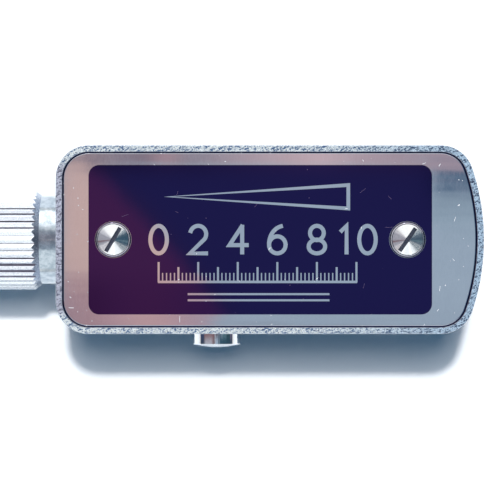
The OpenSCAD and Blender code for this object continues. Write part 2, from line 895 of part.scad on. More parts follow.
module coupling_collar() {
    r = knurl_d / 2;
    color("LightGray")
        rotate([0, 90, 0])
            difference() {
                union() {
                    knurled(r, knurl_teeth, knurl_len + collar_cone, knurl_chamfer,
                        r - neck_d / 2, collar_cone);
                    translate([0, 0, knurl_len])
                        cylinder(d = neck_d, h = neck_end - knurl_len);
                    translate([0, 0, knurl_len])
                        cylinder(d = spigot_d, h = spigot_end - knurl_len);
                }
                translate([0, 0, -1])
                    cylinder(r = tip_d / 2 + seat_clear, h = tip_root + 1);
                translate([0, 0, tip_root - EPS])
                    cylinder(r = bore_r, h = spigot_end);
                translate([0, 0, clip_x])
                    difference() {
                        cylinder(r = spigot_d, h = clip_t + 2 * seat_clear);
                        translate([0, 0, -1])
                            cylinder(r = spigot_d / 2 - clip_groove, h = clip_t + 2);
                    }
            }
}

// Tapered nose: the thread's crests and roots follow the cone
module release_tip() {
    turns = floor((tip_len - tip_pitch) / tip_pitch);
    slope = (tip_d - tip_end_d) / 2 / tip_len;
    crest = [for (i = [0:turns]) each [
        [tip_d / 2 - slope * i * tip_pitch, -i * tip_pitch],
        [tip_d / 2 - slope * i * tip_pitch - tip_thread, -(i + 0.5) * tip_pitch]
    ]];
    color("LightGray")
        rotate([0, 90, 0])
            difference() {
                rotate_extrude()
                    polygon(concat(
                        [[0, tip_root], [tip_d / 2, tip_root]],
                        crest,
                        [[tip_end_d / 2 - tip_thread, -tip_len], [0, -tip_len]]
                    ));
                translate([0, 0, -tip_len - 1])
                    cylinder(r = tip_bore_r, h = tip_len + tip_root + 2);
            }
}

module collar_circlip() {
    gap = 50;
    color("DimGray")
        translate([clip_x + seat_clear, 0, 0])
            rotate([0, 90, 0])
                rotate([0, 0, gap / 2])
                    rotate_extrude(angle = 360 - gap)
                        translate([spigot_d / 2 - clip_groove + seat_clear, 0])
                            square([clip_w, clip_t]);
}

// ---- Plunger ----

module plunger_pin() {
    color("Silver")
        translate([pin_x0, 0, 0])
            rotate([0, 90, 0]) {
                cylinder(r1 = pin_d / 2 - pin_edge, r2 = pin_d / 2, h = pin_edge);
                translate([0, 0, pin_edge])
                    cylinder(d = pin_d, h = stroke);
                translate([0, 0, stroke])
                    cylinder(d = pin_shank_d, h = rod_x0 + pin_seat - pin_x0 - stroke);
            }
}

module plunger_rod() {
    color("Silver")
        translate([rod_x0, 0, 0])
            rotate([0, 90, 0])
                difference() {
                    union() {
                        cylinder(d = rod_d, h = shoulder_x - rod_x0);
                        cylinder(d = stud_d, h = lug_x0 + lug_t - rod_x0);
                    }
                    translate([0, 0, -1])
                        cylinder(r = pin_shank_d / 2 + seat_clear, h = pin_seat + 1);
                }
}

module rod_nut() {
    color("DimGray")
        translate([shoulder_x, 0, 0])
            rotate([0, 90, 0])
                difference() {
                    cylinder(r = nut_flats / sqrt(3), h = nut_t, $fn = 6);
                    translate([0, 0, -1])
                        cylinder(r = stud_d / 2 + seat_clear, h = nut_t + 2);
                }
}

// Half width of a rack tooth, at a height above its pitch line
function rack_tooth(h) = (PI * rack_module / 2 - rack_slack) / 2 - h * tan(PRESSURE);

module rack_slide() {
    pitch = PI * rack_module;
    x1 = slot_x1 + rack_end;
    first = ceil((slot_x0 - knob_x) / pitch + 0.3);
    last = floor((slot_x1 - knob_x) / pitch - 1.3);
    top = rack_addendum * rack_module;
    root = -rack_dedendum * rack_module;
    color("Gray")
        difference() {
            union() {
                translate([0, 0, rack_z0])
                    linear_extrude(rack_t)
                        difference() {
                            translate([lug_x0, rack_y0])
                                square([x1 - lug_x0, rack_y1 - rack_y0]);
                            difference() {
                                translate([slot_x0, -rack_tooth_root])
                                    square([slot_x1 - slot_x0, rack_tooth_root + slot_top]);
                                for (i = [first:last])
                                    translate([knob_x + (i + 0.5) * pitch, -pinion_r])
                                        polygon([
                                            [-rack_tooth(root), root - EPS],
                                            [rack_tooth(root), root - EPS],
                                            [rack_tooth(top), top],
                                            [-rack_tooth(top), top]
                                        ]);
                            }
                        }
                translate([lug_x0, -lug_w / 2, rack_z0])
                    cube([lug_t, lug_w, lug_top - rack_z0]);
            }
            translate([lug_x0 - 1, 0, 0])
                rotate([0, 90, 0])
                    cylinder(r = stud_d / 2 + seat_clear, h = lug_t + 2);
        }
}

// ---- Winding ----

module winding_knob() {
    r = knob_d / 2;
    edge = 0.4;
    dish = 0.15;
    color("LightGray")
        translate([knob_x, 0, knob_z0])
            difference() {
                knurled(r, knob_teeth, knob_t, edge, edge, edge);
                translate([0, 0, -1])
                    cylinder(r = r - 3 * edge, h = 1 + dish);
                translate([0, 0, -1])
                    cylinder(d = knob_recess_d, h = 1 + knob_recess);
                translate([0, 0, -1])
                    cylinder(r = knob_screw_r + seat_clear, h = knob_t + 2);
                translate([0, 0, knob_recess + knob_web])
                    cylinder(r = arbor_d / 2 + seat_clear, h = knob_t);
            }
}

module knob_screw() {
    color("WhiteSmoke")
        translate([knob_x, 0, knob_z0 + knob_recess])
            difference() {
                union() {
                    translate([0, 0, -knob_screw_head_t])
                        cylinder(r = knob_screw_head_r, h = knob_screw_head_t);
                    cylinder(r = knob_screw_r, h = knob_web + knob_screw_bite);
                }
                translate([-knob_recess_d / 2, -slot_w / 2, -knob_screw_head_t - 1])
                    cube([knob_recess_d, slot_w, 1 + slot_depth]);
            }
}

module winding_arbor() {
    color("Silver")
        at(winding)
            difference() {
                union() {
                    translate([0, 0, arbor_end_z])
                        cylinder(d = arbor_d, h = hub_z0 - arbor_end_z + EPS);
                    translate([0, 0, hub_z0])
                        cylinder(d = hub_d, h = pinion_z0 - hub_z0 + EPS);
                    translate([0, 0, pinion_z0])
                        linear_extrude(pinion_z1 - pinion_z0)
                            polygon(gear(pinion_teeth, rack_module, 0, rack_addendum, rack_dedendum, rack_slack));
                    translate([0, 0, pinion_z1 - EPS])
                        cylinder(r = arbor_shank_r, h = ratchet_z + ratchet_t - pinion_z1);
                    translate([0, 0, middle_z1 + end_play])
                        cylinder(r = 2 * arbor_top_r, h = great_z - middle_z1 - 2 * end_play);
                    translate([0, 0, ratchet_z])
                        cylinder(r = arbor_top_r, h = front_z1 - ratchet_z);
                }
                translate([0, 0, arbor_end_z - 1])
                    cylinder(r = knob_screw_r + seat_clear, h = 1 + knob_screw_bite + 3 * end_play);
            }
}

// Mainspring: a flat spiral from the hub to the post, where it ends in a hook
module mainspring() {
    r0 = hub_d / 2 + spring_strip / 2 + seat_clear;
    r1 = spring_reach - post_r - spring_strip / 2 - end_play / 2;
    turn_steps = 24;
    steps = turn_steps * spring_turns;
    spiral = [for (i = [0:steps])
        winding + (r0 + (r1 - r0) * i / steps) * unit2(post_angle + 360 * spring_turns * (1 - i / steps))];
    hook_r = post_r + spring_strip / 2 + end_play / 2;
    hook = [for (i = [1:7]) post + hook_r * unit2(post_angle + 180 + 30 * i)];
    color("SteelBlue")
        translate([0, 0, spring_z0])
            linear_extrude(spring_z1 - spring_z0)
                polygon(ribbon(concat(spiral, hook), spring_strip));
}

module ratchet_wheel() {
    color("Silver")
        at(winding, ratchet_z)
            linear_extrude(ratchet_t)
                difference() {
                    polygon(saw(ratchet_teeth, ratchet_r, ratchet_depth, click_tip_dir + ratchet_lead));
                    circle(arbor_shank_r + seat_clear);
                }
}

// ---- Great wheel and its click ----

module great_wheel() {
    color("Gold")
        at(winding, great_z)
            difference() {
                wheel(gear(great_teeth, gear_m, 0, addendum = 0.8), 12, 19.2,
                    arbor_shank_r + run_clear, 4, spoke = 45);
                at(click_pivot - winding, -1)
                    cylinder(r = click_pin_r + seat_clear, h = wheel_t + 2);
            }
}

module click() {
    color("DimGray")
        translate([0, 0, ratchet_z])
            linear_extrude(ratchet_t)
                difference() {
                    polygon(arm(click_pivot, click_tip, click_hub_r, click_nose_r));
                    at(click_pivot)
                        circle(click_pin_r + run_clear);
                }
}

module click_pin() {
    color("Silver")
        at(click_pivot, great_z)
            cylinder(r = click_pin_r, h = ratchet_z + ratchet_t - great_z);
}

// Click spring: a blade that curves in from its foot on the wheel's rim to the click's back
module click_spring() {
    foot_dir = 150;
    foot_r = 0.4;
    foot_len = 0.3;
    blade_t = 0.12;
    blade_turn = 62;
    blade_in = 3.4 * gear_m;
    steps = 8;
    foot = winding + click_pivot_r * unit2(foot_dir);
    path = [for (i = [0:steps])
        winding + (click_pivot_r + gear_m - blade_in * pow(i / steps, 2))
            * unit2(foot_dir - blade_turn * i / steps)];
    color("SteelBlue") {
        translate([0, 0, great_z + wheel_t])
            linear_extrude(ratchet_t)
                polygon(arm(foot, foot + [0, foot_len], foot_r, foot_r));
        translate([0, 0, ratchet_z])
            linear_extrude(ratchet_t - end_play)
                polygon(ribbon(path, blade_t));
    }
}

// ---- Train ----

module second_arbor() {
    color("Silver")
        at(second)
            train_arbor(second_pinion_teeth, second_pinion_phase,
                great_z - pinion_over, wheel_t + 2 * pinion_over);
}

module second_wheel() {
    color("Gold")
        at(second, second_z)
            wheel(gear(second_teeth, gear_m, second_pinion_phase, addendum = 0.8),
                4.4, 14.8, train_arbor_d / 2 + seat_clear, 4);
}

module third_arbor() {
    color("Silver")
        at(third)
            train_arbor(third_pinion_teeth, third_pinion_phase,
                second_z - pinion_over, wheel_t + 2 * pinion_over);
}

module third_wheel() {
    color("Gold")
        at(third, third_z)
            wheel(gear(third_teeth, gear_m, third_pinion_phase, addendum = 0.8),
                4.4, 13.2, train_arbor_d / 2 + seat_clear, 4);
}

module escape_arbor() {
    color("Silver")
        at(escape)
            train_arbor(escape_pinion_teeth, escape_pinion_phase,
                third_z - pinion_over, wheel_t + 2 * pinion_over);
}

module escape_wheel() {
    color("Gold")
        at(escape, escape_z)
            wheel(escape_teeth_points(escape_teeth, escape_r, escape_depth, escape_phase),
                3.2, 6.2, train_arbor_d / 2 + seat_clear, 3, spoke = 30);
}

module pallet_arbor() {
    color("Silver")
        at(pallet)
            train_arbor(0, 0, 0, 0);
}

module pallet_lever() {
    color("DimGray")
        translate([0, 0, escape_z])
            linear_extrude(wheel_t)
                difference() {
                    union() {
                        for (p = nibs)
                            polygon(arm(pallet, p, pallet_arm_r, pallet_nib_r));
                        at(pallet)
                            circle(pallet_hub_r);
                    }
                    at(pallet)
                        circle(train_arbor_d / 2 + seat_clear);
                }
}

module balance_weight() {
    color("Gold")
        at(pallet, balance_z0)
            linear_extrude(balance_z1 - balance_z0)
                difference() {
                    union() {
                        polygon(window(balance_rim_r - balance_rim, balance_rim_r,
                            balance_from, balance_to));
                        polygon(arm([0, 0],
                            (balance_rim_r - balance_rim / 2) * unit2((balance_from + balance_to) / 2),
                            balance_hub_r, balance_arm_r));
                    }
                    circle(train_arbor_d / 2 + seat_clear);
                }
}

// ---- Start button and stop lever ----

module start_button() {
    r = button_d / 2;
    y0 = -half_w - button_proud;
    face_rise = 0.05;
    face_inset = 0.6;
    color("LightGray")
        translate([button_x, 0, 0])
            rotate([-90, 0, 0])
                rotate_extrude()
                    polygon([
                        [0, y0],
                        [r - button_edge - face_inset, y0 + face_rise],
                        [r - button_edge, y0 + button_dome / 2],
                        [r, y0 + button_dome / 2 + button_edge],
                        [r, flange_y0],
                        [button_flange_r, flange_y0],
                        [button_flange_r, flange_y1],
                        [stem_d / 2, flange_y1],
                        [stem_d / 2, stem_y1],
                        [0, stem_y1]
                    ]);
}

module button_spring() {
    r = stem_d / 2 + button_wire / 2 + end_play;
    y0 = flange_y1 + button_wire / 2 + seat_clear;
    y1 = guide_y0 - button_wire / 2 - seat_clear;
    turn_steps = 8;
    steps = turn_steps * button_coils;
    path = [for (i = [0:steps]) let (a = 360 * i / turn_steps)
        [button_x + r * cos(a), y0 + (y1 - y0) * i / steps, r * sin(a)]];
    color("SteelBlue")
        tube(path, button_wire / 2, [0, 1, 0]);
}

module button_guide() {
    color("Goldenrod")
        difference() {
            translate([button_x - guide_half, guide_y0, back_plate_z1])
                union() {
                    cube([2 * guide_half, guide_wall, guide_top - back_plate_z1]);
                    cube([2 * guide_half, guide_foot, guide_wall]);
                }
            translate([button_x, guide_y0 - 1, 0])
                rotate([-90, 0, 0])
                    cylinder(r = stem_d / 2 + run_clear, h = guide_wall + 2);
            at([button_x, guide_screw_y], back_plate_z1 - 1)
                cylinder(r = small_screw_d / 2 + seat_clear, h = guide_wall + 2);
        }
}

module guide_screw() {
    color("SteelBlue")
        at([button_x, guide_screw_y])
            difference() {
                union() {
                    translate([0, 0, back_plate_z1 + guide_wall])
                        cylinder(r = guide_screw_r, h = small_head_t);
                    translate([0, 0, floor_z])
                        cylinder(d = small_screw_d, h = back_plate_t + guide_wall + EPS);
                }
                translate([-small_head_r, -guide_slot_w / 2,
                    back_plate_z1 + guide_wall + small_head_t / 2])
                    cube([2 * small_head_r, guide_slot_w, small_head_t]);
            }
}

module stop_lever() {
    color("DimGray")
        translate([0, 0, lever_z0])
            linear_extrude(lever_t)
                difference() {
                    union() {
                        polygon(arm(lever_pivot, lever_boss, lever_arm_r, lever_arm_r));
                        at(lever_boss)
                            circle(lever_boss_r);
                        polygon(arm(lever_pivot, brake, lever_brake_arm_r, brake_r));
                        at(lever_pivot)
                            circle(lever_hub_r);
                    }
                    at(lever_pivot)
                        circle(lever_pin_r + run_clear);
                }
}

module lever_post() {
    shoulder_r = 0.8;
    cap_r = 0.75;
    cap_t = 0.3;
    color("Silver")
        at(lever_pivot) {
            translate([0, 0, middle_z0])
                cylinder(r = lever_pin_r, h = lever_z0 + lever_t + end_play - middle_z0 + EPS);
            translate([0, 0, middle_z1])
                cylinder(r = shoulder_r, h = lever_z0 - end_play / 2 - middle_z1);
            translate([0, 0, lever_z0 + lever_t + end_play / 2])
                cylinder(r = cap_r, h = cap_t);
        }
}

// Lever spring: wound round the far lower pillar, one leg on the lever and one towards the wall
module lever_spring() {
    c = bridge_pillars[2];
    z0 = lever_z0 + lever_wire / 2;
    turn_steps = 8;
    coil_gap = 0.06;
    rise = (lever_wire + coil_gap) / turn_steps;
    steps = turn_steps * lever_coils;
    start = 100;
    coil = [for (i = [0:steps]) let (a = start + 360 * i / turn_steps) [
        c[0] + lever_coil_r * cos(a),
        c[1] + lever_coil_r * sin(a),
        z0 + rise * i
    ]];
    along = unit2(atan2(brake[1] - lever_pivot[1], brake[0] - lever_pivot[0]));
    touch_short = 1.62;
    touch_at = norm(brake - lever_pivot) - touch_short;
    side_gap = brake_r + end_play + lever_wire;
    touch = lever_pivot + touch_at * along + side_gap * [along[1], -along[0]];
    wall_leg = [-1.2, 0.1];
    last = coil[steps];
    color("SteelBlue")
        tube(concat(
            [[touch[0], touch[1], z0]],
            coil,
            [[last[0] + wall_leg[0], last[1] + wall_leg[1], last[2]]]
        ), lever_wire / 2, [0, 0, 1]);
}

case_shell();
name_plate();
plate_screws();
back_screws();
nose_block();
back_plate();
middle_plate();
front_plate();
pillars();
pillar_screws();
rack_guides();
spring_post();
coupling_collar();
release_tip();
collar_circlip();
plunger_pin();
plunger_rod();
rod_nut();
rack_slide();
winding_knob();
knob_screw();
winding_arbor();
mainspring();
ratchet_wheel();
great_wheel();
click();
click_pin();
click_spring();
second_arbor();
second_wheel();
third_arbor();
third_wheel();
escape_arbor();
escape_wheel();
pallet_arbor();
pallet_lever();
balance_weight();
start_button();
button_spring();
button_guide();
guide_screw();
stop_lever();
lever_post();
lever_spring();
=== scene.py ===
"""Looks of a small clockwork self-timer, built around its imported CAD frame.

Shapes are worked out in millimetres, in the frame's axes, and stored in metres.
+X runs from the release tip to the case's far end, +Z out of the name plate.
"""

import json
import math
import random

import bmesh
import bpy
from mathutils import Matrix, Vector, noise


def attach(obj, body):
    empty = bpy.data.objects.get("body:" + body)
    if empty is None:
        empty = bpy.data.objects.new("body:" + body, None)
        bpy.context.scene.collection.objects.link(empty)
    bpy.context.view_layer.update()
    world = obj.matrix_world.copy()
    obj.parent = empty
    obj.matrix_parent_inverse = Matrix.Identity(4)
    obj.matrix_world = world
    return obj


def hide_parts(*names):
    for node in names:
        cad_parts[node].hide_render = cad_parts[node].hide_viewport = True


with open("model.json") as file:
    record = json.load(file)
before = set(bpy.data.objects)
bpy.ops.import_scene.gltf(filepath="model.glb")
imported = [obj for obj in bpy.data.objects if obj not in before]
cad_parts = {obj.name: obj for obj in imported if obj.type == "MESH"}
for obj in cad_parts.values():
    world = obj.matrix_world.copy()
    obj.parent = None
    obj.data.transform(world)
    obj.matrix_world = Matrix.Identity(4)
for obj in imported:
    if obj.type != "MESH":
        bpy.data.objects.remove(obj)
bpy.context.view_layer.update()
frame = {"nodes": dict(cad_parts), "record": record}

MM = 0.001
TAU = 2 * math.pi
SHARP = 32  # degrees
X_AXIS, Y_AXIS, Z_AXIS = (1, 0, 0), (0, 1, 0), (0, 0, 1)
SCENE = bpy.context.scene

# Case, name plate and panel
CASE_X0, CASE_X1, HALF_W = 9.6, 51.6, 9.25
BACK_Z, RIM_Z, WALL, RIM_W = -6.25, 6.25, 0.6, 0.67
CORNER_R, END_R, BACK_EDGE, RIM_EDGE, RIM_STEP = 3.25, 22.0, 1.4, 0.07, 0.1
PLATE_INSET, PLATE_Z0, PLATE_Z1, PLATE_EDGE = 0.72, 5.5, 6.1, 0.14
PANEL_X, PANEL_Y, PANEL_R = (12.82, 46.51), (-7.345, 7.315), 1.05
PANEL_DEEP, PANEL_EDGE, PANEL_GAP = 0.03, 0.008, 0.02

# Screws: name, place along X and angle of the plate screw's slot; SINK is for the back screws
SCREWS = (("near", 15.24, 59), ("far", 44.1, 55))
SLOT_W, SLOT_DEEP, SHANK_R = 0.4, 0.35, 0.8
HEAD_R, FACE_R, HEAD_Z0, HEAD_Z1, SHANK_Z0 = 1.7, 1.5, 5.8, 6.5, 4.1
RECESS_R, RECESS_EDGE, PLATE_HOLE_R = 1.76, 0.05, 1.0
SINK_R, SINK_DEEP, BACK_SHANK, BACK_SLOT = 1.49, 0.6, 1.38, 0.25

# Collar, tip and pin, along X
KNURL_R, KNURL_DEEP, KNURL_LEN, KNURL_TEETH = 5.0, 0.32, 7.08, 40
CONE_END, NECK_R, NECK_END = 7.76, 4.45, 10.1
SPIGOT_R, SPIGOT_BORE, SPIGOT_END = 2.5, 1.6, 14.25
TIP_R, TIP_END_R, TIP_LEN, TIP_ROOT, TIP_BORE = 1.95, 1.45, 5.0, 1.0, 1.01
THREAD_PITCH, THREAD_DEEP = 0.5, 0.2
PIN_R, PIN_X0, ROD_R, ROD_X0, ROD_X1 = 0.75, -12.0, 0.95, -5.0, 3.0

# Knob on the back and start button on the side
KNOB = (30.0, 0.0)
KNOB_Z0, KNOB_Z1, KNOB_R, KNOB_TEETH, KNOB_EDGE = -9.4, -6.45, 7.2, 60, 0.4
DISH_R, DISH, WELL_R, WELL = 6.0, 0.15, 2.5, 0.9
ARBOR_R, SEAT_R, SEAT, KNOB_HOLE_R = 0.61, 1.21, 1.8, 1.4
KNOB_SCREW_R, KNOB_SCREW_H, KNOB_SHANK_R, KNOB_SHANK = 2.0, 0.7, 0.6, 2.1
BUTTON_X, BUTTON_R, BUTTON_FACE, BUTTON_DOME, DOME_R = 25.3, 2.46, -10.8, 0.22, 2.0
FLANGE_R, FLANGE_Y0, FLANGE_Y1, STEM_R, STEM_Y1 = 2.8, -8.6, -8.3, 0.8, -6.45

# Studio; the view's half width is measured at the rim
FLOOR_Z = KNOB_Z0
VIEW_X, VIEW_Y, VIEW_AWAY, VIEW_HALF = 28.66, -1.02, 230, 24.5


# ---- Meshes ----

def finish_mesh(name, verts, faces, origin=(0, 0, 0), sharp=SHARP, marks=None):
    """Object from vertices in millimetres; marks gives the material number of faces."""
    mesh = bpy.data.meshes.new(name)
    o = Vector(origin)
    mesh.from_pydata([(Vector(v) - o) * MM for v in verts], [], faces)
    mesh.update()
    if marks:
        mesh.polygons.foreach_set("material_index", marks)
    obj = bpy.data.objects.new(name, mesh)
    obj.location = o * MM
    SCENE.collection.objects.link(obj)
    smooth(obj, sharp)
    return obj


def smooth(obj, sharp):
    mesh = obj.data
    mesh.polygons.foreach_set("use_smooth", [True] * len(mesh.polygons))
    mesh.set_sharp_from_angle(angle=math.radians(sharp))


def mark(obj, number):
    """Material number of each face, from its middle in the object's own millimetres."""
    for face in obj.data.polygons:
        face.material_index = number(face.center / MM)


def weighted(obj):
    """Flat faces keep flat shading beside their rounded edges."""
    m = obj.modifiers.new("even", "WEIGHTED_NORMAL")
    m.keep_sharp = True
    return obj


def skin(rings, caps=True):
    """Faces through rings of equal counts, and over both ends."""
    n = len(rings[0])
    verts = [v for ring in rings for v in ring]
    faces = []
    for i in range(len(rings) - 1):
        for j in range(n):
            k = (j + 1) % n
            faces.append((i * n + j, i * n + k, (i + 1) * n + k, (i + 1) * n + j))
    if caps:
        faces.append(tuple(range(n - 1, -1, -1)))
        faces.append(tuple((len(rings) - 1) * n + j for j in range(n)))
    return verts, faces


def tube(rings):
    """Faces through rings whose last one meets the first, round a bore."""
    verts, faces = skin(rings, caps=False)
    n = len(rings[0])
    last = len(verts) - n
    faces += [(last + j, last + (j + 1) % n, (j + 1) % n, j) for j in range(n)]
    return verts, faces


def axis_frame(origin, axis):
    """Turns local points, which stand on +Z, onto an axis."""
    turn = Vector(axis).to_track_quat("Z", "Y").to_matrix().to_4x4()
    return Matrix.Translation(Vector(origin)) @ turn


def lathe(profile, n, place):
    """Solid of revolution; a profile point with radius 0 closes an end."""
    verts, faces, rows = [], [], []
    for r, h in profile:
        if r < 1e-6:
            rows.append([len(verts)] * n)
            verts.append(place @ Vector((0, 0, h)))
        else:
            rows.append(list(range(len(verts), len(verts) + n)))
            verts += [place @ Vector((r * math.cos(TAU * i / n), r * math.sin(TAU * i / n), h))
                      for i in range(n)]
    pairs = list(zip(rows, rows[1:]))
    if profile[0][0] > 1e-6 and profile[-1][0] > 1e-6 and len(profile) > 2:
        pairs.append((rows[-1], rows[0]))
    for a, b in pairs:
        for i in range(n):
            k = (i + 1) % n
            face = [a[i], a[k], b[k], b[i]]
            face = [v for j, v in enumerate(face) if v != face[j - 1]]
            if len(face) > 2:
                faces.append(tuple(face))
    return verts, faces


def rounded(points, steps=4):
    """Profile from (r, h, corner radius) entries, with each corner rounded."""
    out = []
    for i, (r, h, rad) in enumerate(points):
        p = Vector((r, h))
        if rad <= 0 or i in (0, len(points) - 1):
            out.append((r, h))
            continue
        a = (Vector(points[i - 1][:2]) - p).normalized()
        b = (Vector(points[i + 1][:2]) - p).normalized()
        half = a.angle(b) / 2
        back = rad / math.tan(half)
        centre = p + (a + b).normalized() * (rad / math.sin(half))
        s, e = p + a * back - centre, p + b * back - centre
        turn = math.atan2(s.x * e.y - s.y * e.x, s.dot(e))
        for k in range(steps + 1):
            c, d = math.cos(turn * k / steps), math.sin(turn * k / steps)
            out.append((centre.x + s.x * c - s.y * d, centre.y + s.x * d + s.y * c))
    return out


def rod(r, h0, h1):
    """Profile of a plain cylinder."""
    return [(0, h0), (r, h0), (r, h1), (0, h1)]


def lathe_piece(name, profile, n, place, axis, origin=(0, 0, 0)):
    """Solid turned from a profile about an axis through a place."""
    verts, faces = lathe(profile, n, axis_frame(place, axis))
    return finish_mesh(name, verts, faces, origin)


def cutter(profile, place, axis, n=64):
    return lathe_piece("cutter", profile, n, place, axis)


def cut(obj, tools, operation="DIFFERENCE"):
    """Takes closed meshes out of obj, or joins them to it, exactly."""
    for tool in tools:
        m = obj.modifiers.new("cut", "BOOLEAN")
        m.operation, m.solver, m.object = operation, "EXACT", tool
    graph = bpy.context.evaluated_depsgraph_get()
    mesh = bpy.data.meshes.new_from_object(obj.evaluated_get(graph))
    obj.modifiers.clear()
    obj.data = mesh
    for tool in tools:
        bpy.data.objects.remove(tool)
    smooth(obj, SHARP)
    return obj


def drop_slivers(obj, size=1e-7):
    """Takes away faces without area that cuts through long thin faces can leave."""
    bm = bmesh.new()
    bm.from_mesh(obj.data)
    bmesh.ops.dissolve_degenerate(bm, dist=size, edges=bm.edges[:])
    bm.to_mesh(obj.data)
    bm.free()


def slot_cutter(x, y, z0, z1, angle, up=1, reach=3.0):
    """Bar across a screw head, from its floor z0 past its top z1, wider at the mouth."""
    edge, past = 0.04, 0.3
    w = SLOT_W / 2
    m = w + edge + past
    section = [(-w, z0), (w, z0), (w, z1 - up * edge), (m, z1 + up * past),
               (-m, z1 + up * past), (-w, z1 - up * edge)]
    c, s = math.cos(math.radians(angle)), math.sin(math.radians(angle))
    rings = [[(x + u * c - v * s, y + u * s + v * c, h) for v, h in section]
             for u in (-reach, reach)]
    verts, faces = skin(rings)
    if up < 0:
        faces = [f[::-1] for f in faces]
    return finish_mesh("cutter", verts, faces, marks=[1] * len(faces))


# ---- Outlines ----

def outline(step):
    """Points and outward normals of the case's outline, about a step apart."""
    h = HALF_W - CORNER_R
    cx = CASE_X1 - END_R
    fx = cx + math.sqrt((END_R - CORNER_R) ** 2 - h * h)
    a = math.atan2(h, fx - cx)
    nx = CASE_X0 + CORNER_R
    out = []

    def arc(x, y, r, a0, a1):
        n = max(2, round(r * (a1 - a0) / step))
        for i in range(n):
            t = a0 + (a1 - a0) * i / n
            d = Vector((math.cos(t), math.sin(t)))
            out.append((Vector((x, y)) + r * d, d))

    def line(p, q, normal):
        p, q = Vector(p), Vector(q)
        n = max(2, round((q - p).length / step))
        out.extend((p.lerp(q, i / n), Vector(normal)) for i in range(n))

    arc(cx, 0, END_R, -a, a)
    arc(fx, h, CORNER_R, a, TAU / 4)
    line((fx, HALF_W), (nx, HALF_W), (0, 1))
    arc(nx, h, CORNER_R, TAU / 4, TAU / 2)
    line((CASE_X0, h), (CASE_X0, -h), (-1, 0))
    arc(nx, -h, CORNER_R, TAU / 2, 3 * TAU / 4)
    line((nx, -HALF_W), (fx, -HALF_W), (0, -1))
    arc(fx, -h, CORNER_R, 3 * TAU / 4, TAU - a)
    return out


def case_ring(base, inset, z, wear=None):
    """Ring inside the outline; wear gives how far a point is pushed in and lowered."""
    ring = []
    for p, d in base:
        push, lower = wear(p) if wear else (0, 0)
        q = p - d * (inset + push)
        ring.append((q.x, q.y, z - lower))
    return ring


def rounded_rect(x, y, r, steps=10):
    out = []
    for cx, cy, a0 in ((x[1] - r, y[1] - r, 0), (x[0] + r, y[1] - r, 1),
                       (x[0] + r, y[0] + r, 2), (x[1] - r, y[0] + r, 3)):
        for i in range(steps + 1):
            t = (a0 + i / steps) * TAU / 4
            out.append((cx + r * math.cos(t), cy + r * math.sin(t)))
    return out


def prism(name, points, z0, z1, edge=0.0):
    """Upright prism; an edge draws its upper rim in by a small chamfer."""
    rings = [[(px, py, z0) for px, py in points], [(px, py, z1 - edge) for px, py in points]]
    if edge:
        rings.append([(px, py, z1) for px, py in inset_points(points, edge)])
    verts, faces = skin(rings)
    return finish_mesh(name, verts, faces)


def inset_points(points, d):
    out = []
    for i, p in enumerate(points):
        a = Vector(points[i - 1])
        b = Vector(points[(i + 1) % len(points)])
        t = (b - a).normalized()
        out.append((p[0] - t.y * d, p[1] + t.x * d))
    return out


# ---- Case ----

def grain(p, angle, along, across):
    """Noise drawn out along a direction, at a place in millimetres."""
    c, s = math.cos(angle), math.sin(angle)
    return noise.noise(Vector(((p.x * c + p.y * s) * along, (p.y * c - p.x * s) * across, 0)))


def rim_wear(depth, shift):
    """Hand-dressed cut edge: short crossing strokes that lower it a little."""
    def wear(p):
        a = grain(p + Vector((shift, 0)), 0.9, 1.5, 7)
        b = grain(p + Vector((0, shift)), -0.7, 2.0, 9)
        c = noise.noise(Vector((p.x * 6, p.y * 6, shift)))
        v = max(0.0, min(1.0, 0.5 + 0.55 * a + 0.45 * b + 0.4 * c))
        return 0, depth * v
    return wear


def edge_wear(depth, shift):
    """Uneven rounding of the rim's outer edge."""
    def wear(p):
        v = 0.5 + 0.5 * noise.noise(Vector((p.x * 5, p.y * 5, shift)))
        return depth * v, depth * v * 0.6
    return wear


def back_edge(base, inset, z, r, steps=8):
    """Rings up the round edge of the case's back."""
    rings = []
    for i in range(steps + 1):
        a = TAU / 4 * i / steps
        rings.append(case_ring(base, inset + r * (1 - math.sin(a)), z + r * (1 - math.cos(a))))
    return rings


def case_holes():
    """Cutters for the neck, the button, the knob's arbor and the sunk back screws."""
    out, into = -1, 2
    button, mouth = BUTTON_R + 0.05, BUTTON_R + 0.25
    holes = [
        cutter(rod(NECK_R + 0.1, out, into), (CASE_X0, 0, 0), X_AXIS, 96),
        cutter([(0, out), (mouth, out), (mouth, -0.2), (button, 0.04), (button, into), (0, into)],
               (BUTTON_X, -HALF_W, 0), Y_AXIS, 72),
        cutter(rod(KNOB_HOLE_R, out, into), (*KNOB, BACK_Z), Z_AXIS),
    ]
    past, flare, shank = 0.4, 0.7 / 0.6, SHANK_R + 0.04
    sink = [(0, -past), (SINK_R + 0.03 + past * flare, -past), (shank, SINK_DEEP), (shank, into), (0, into)]
    return holes + [cutter(sink, (x, 0, BACK_Z), Z_AXIS) for _, x, _ in SCREWS]


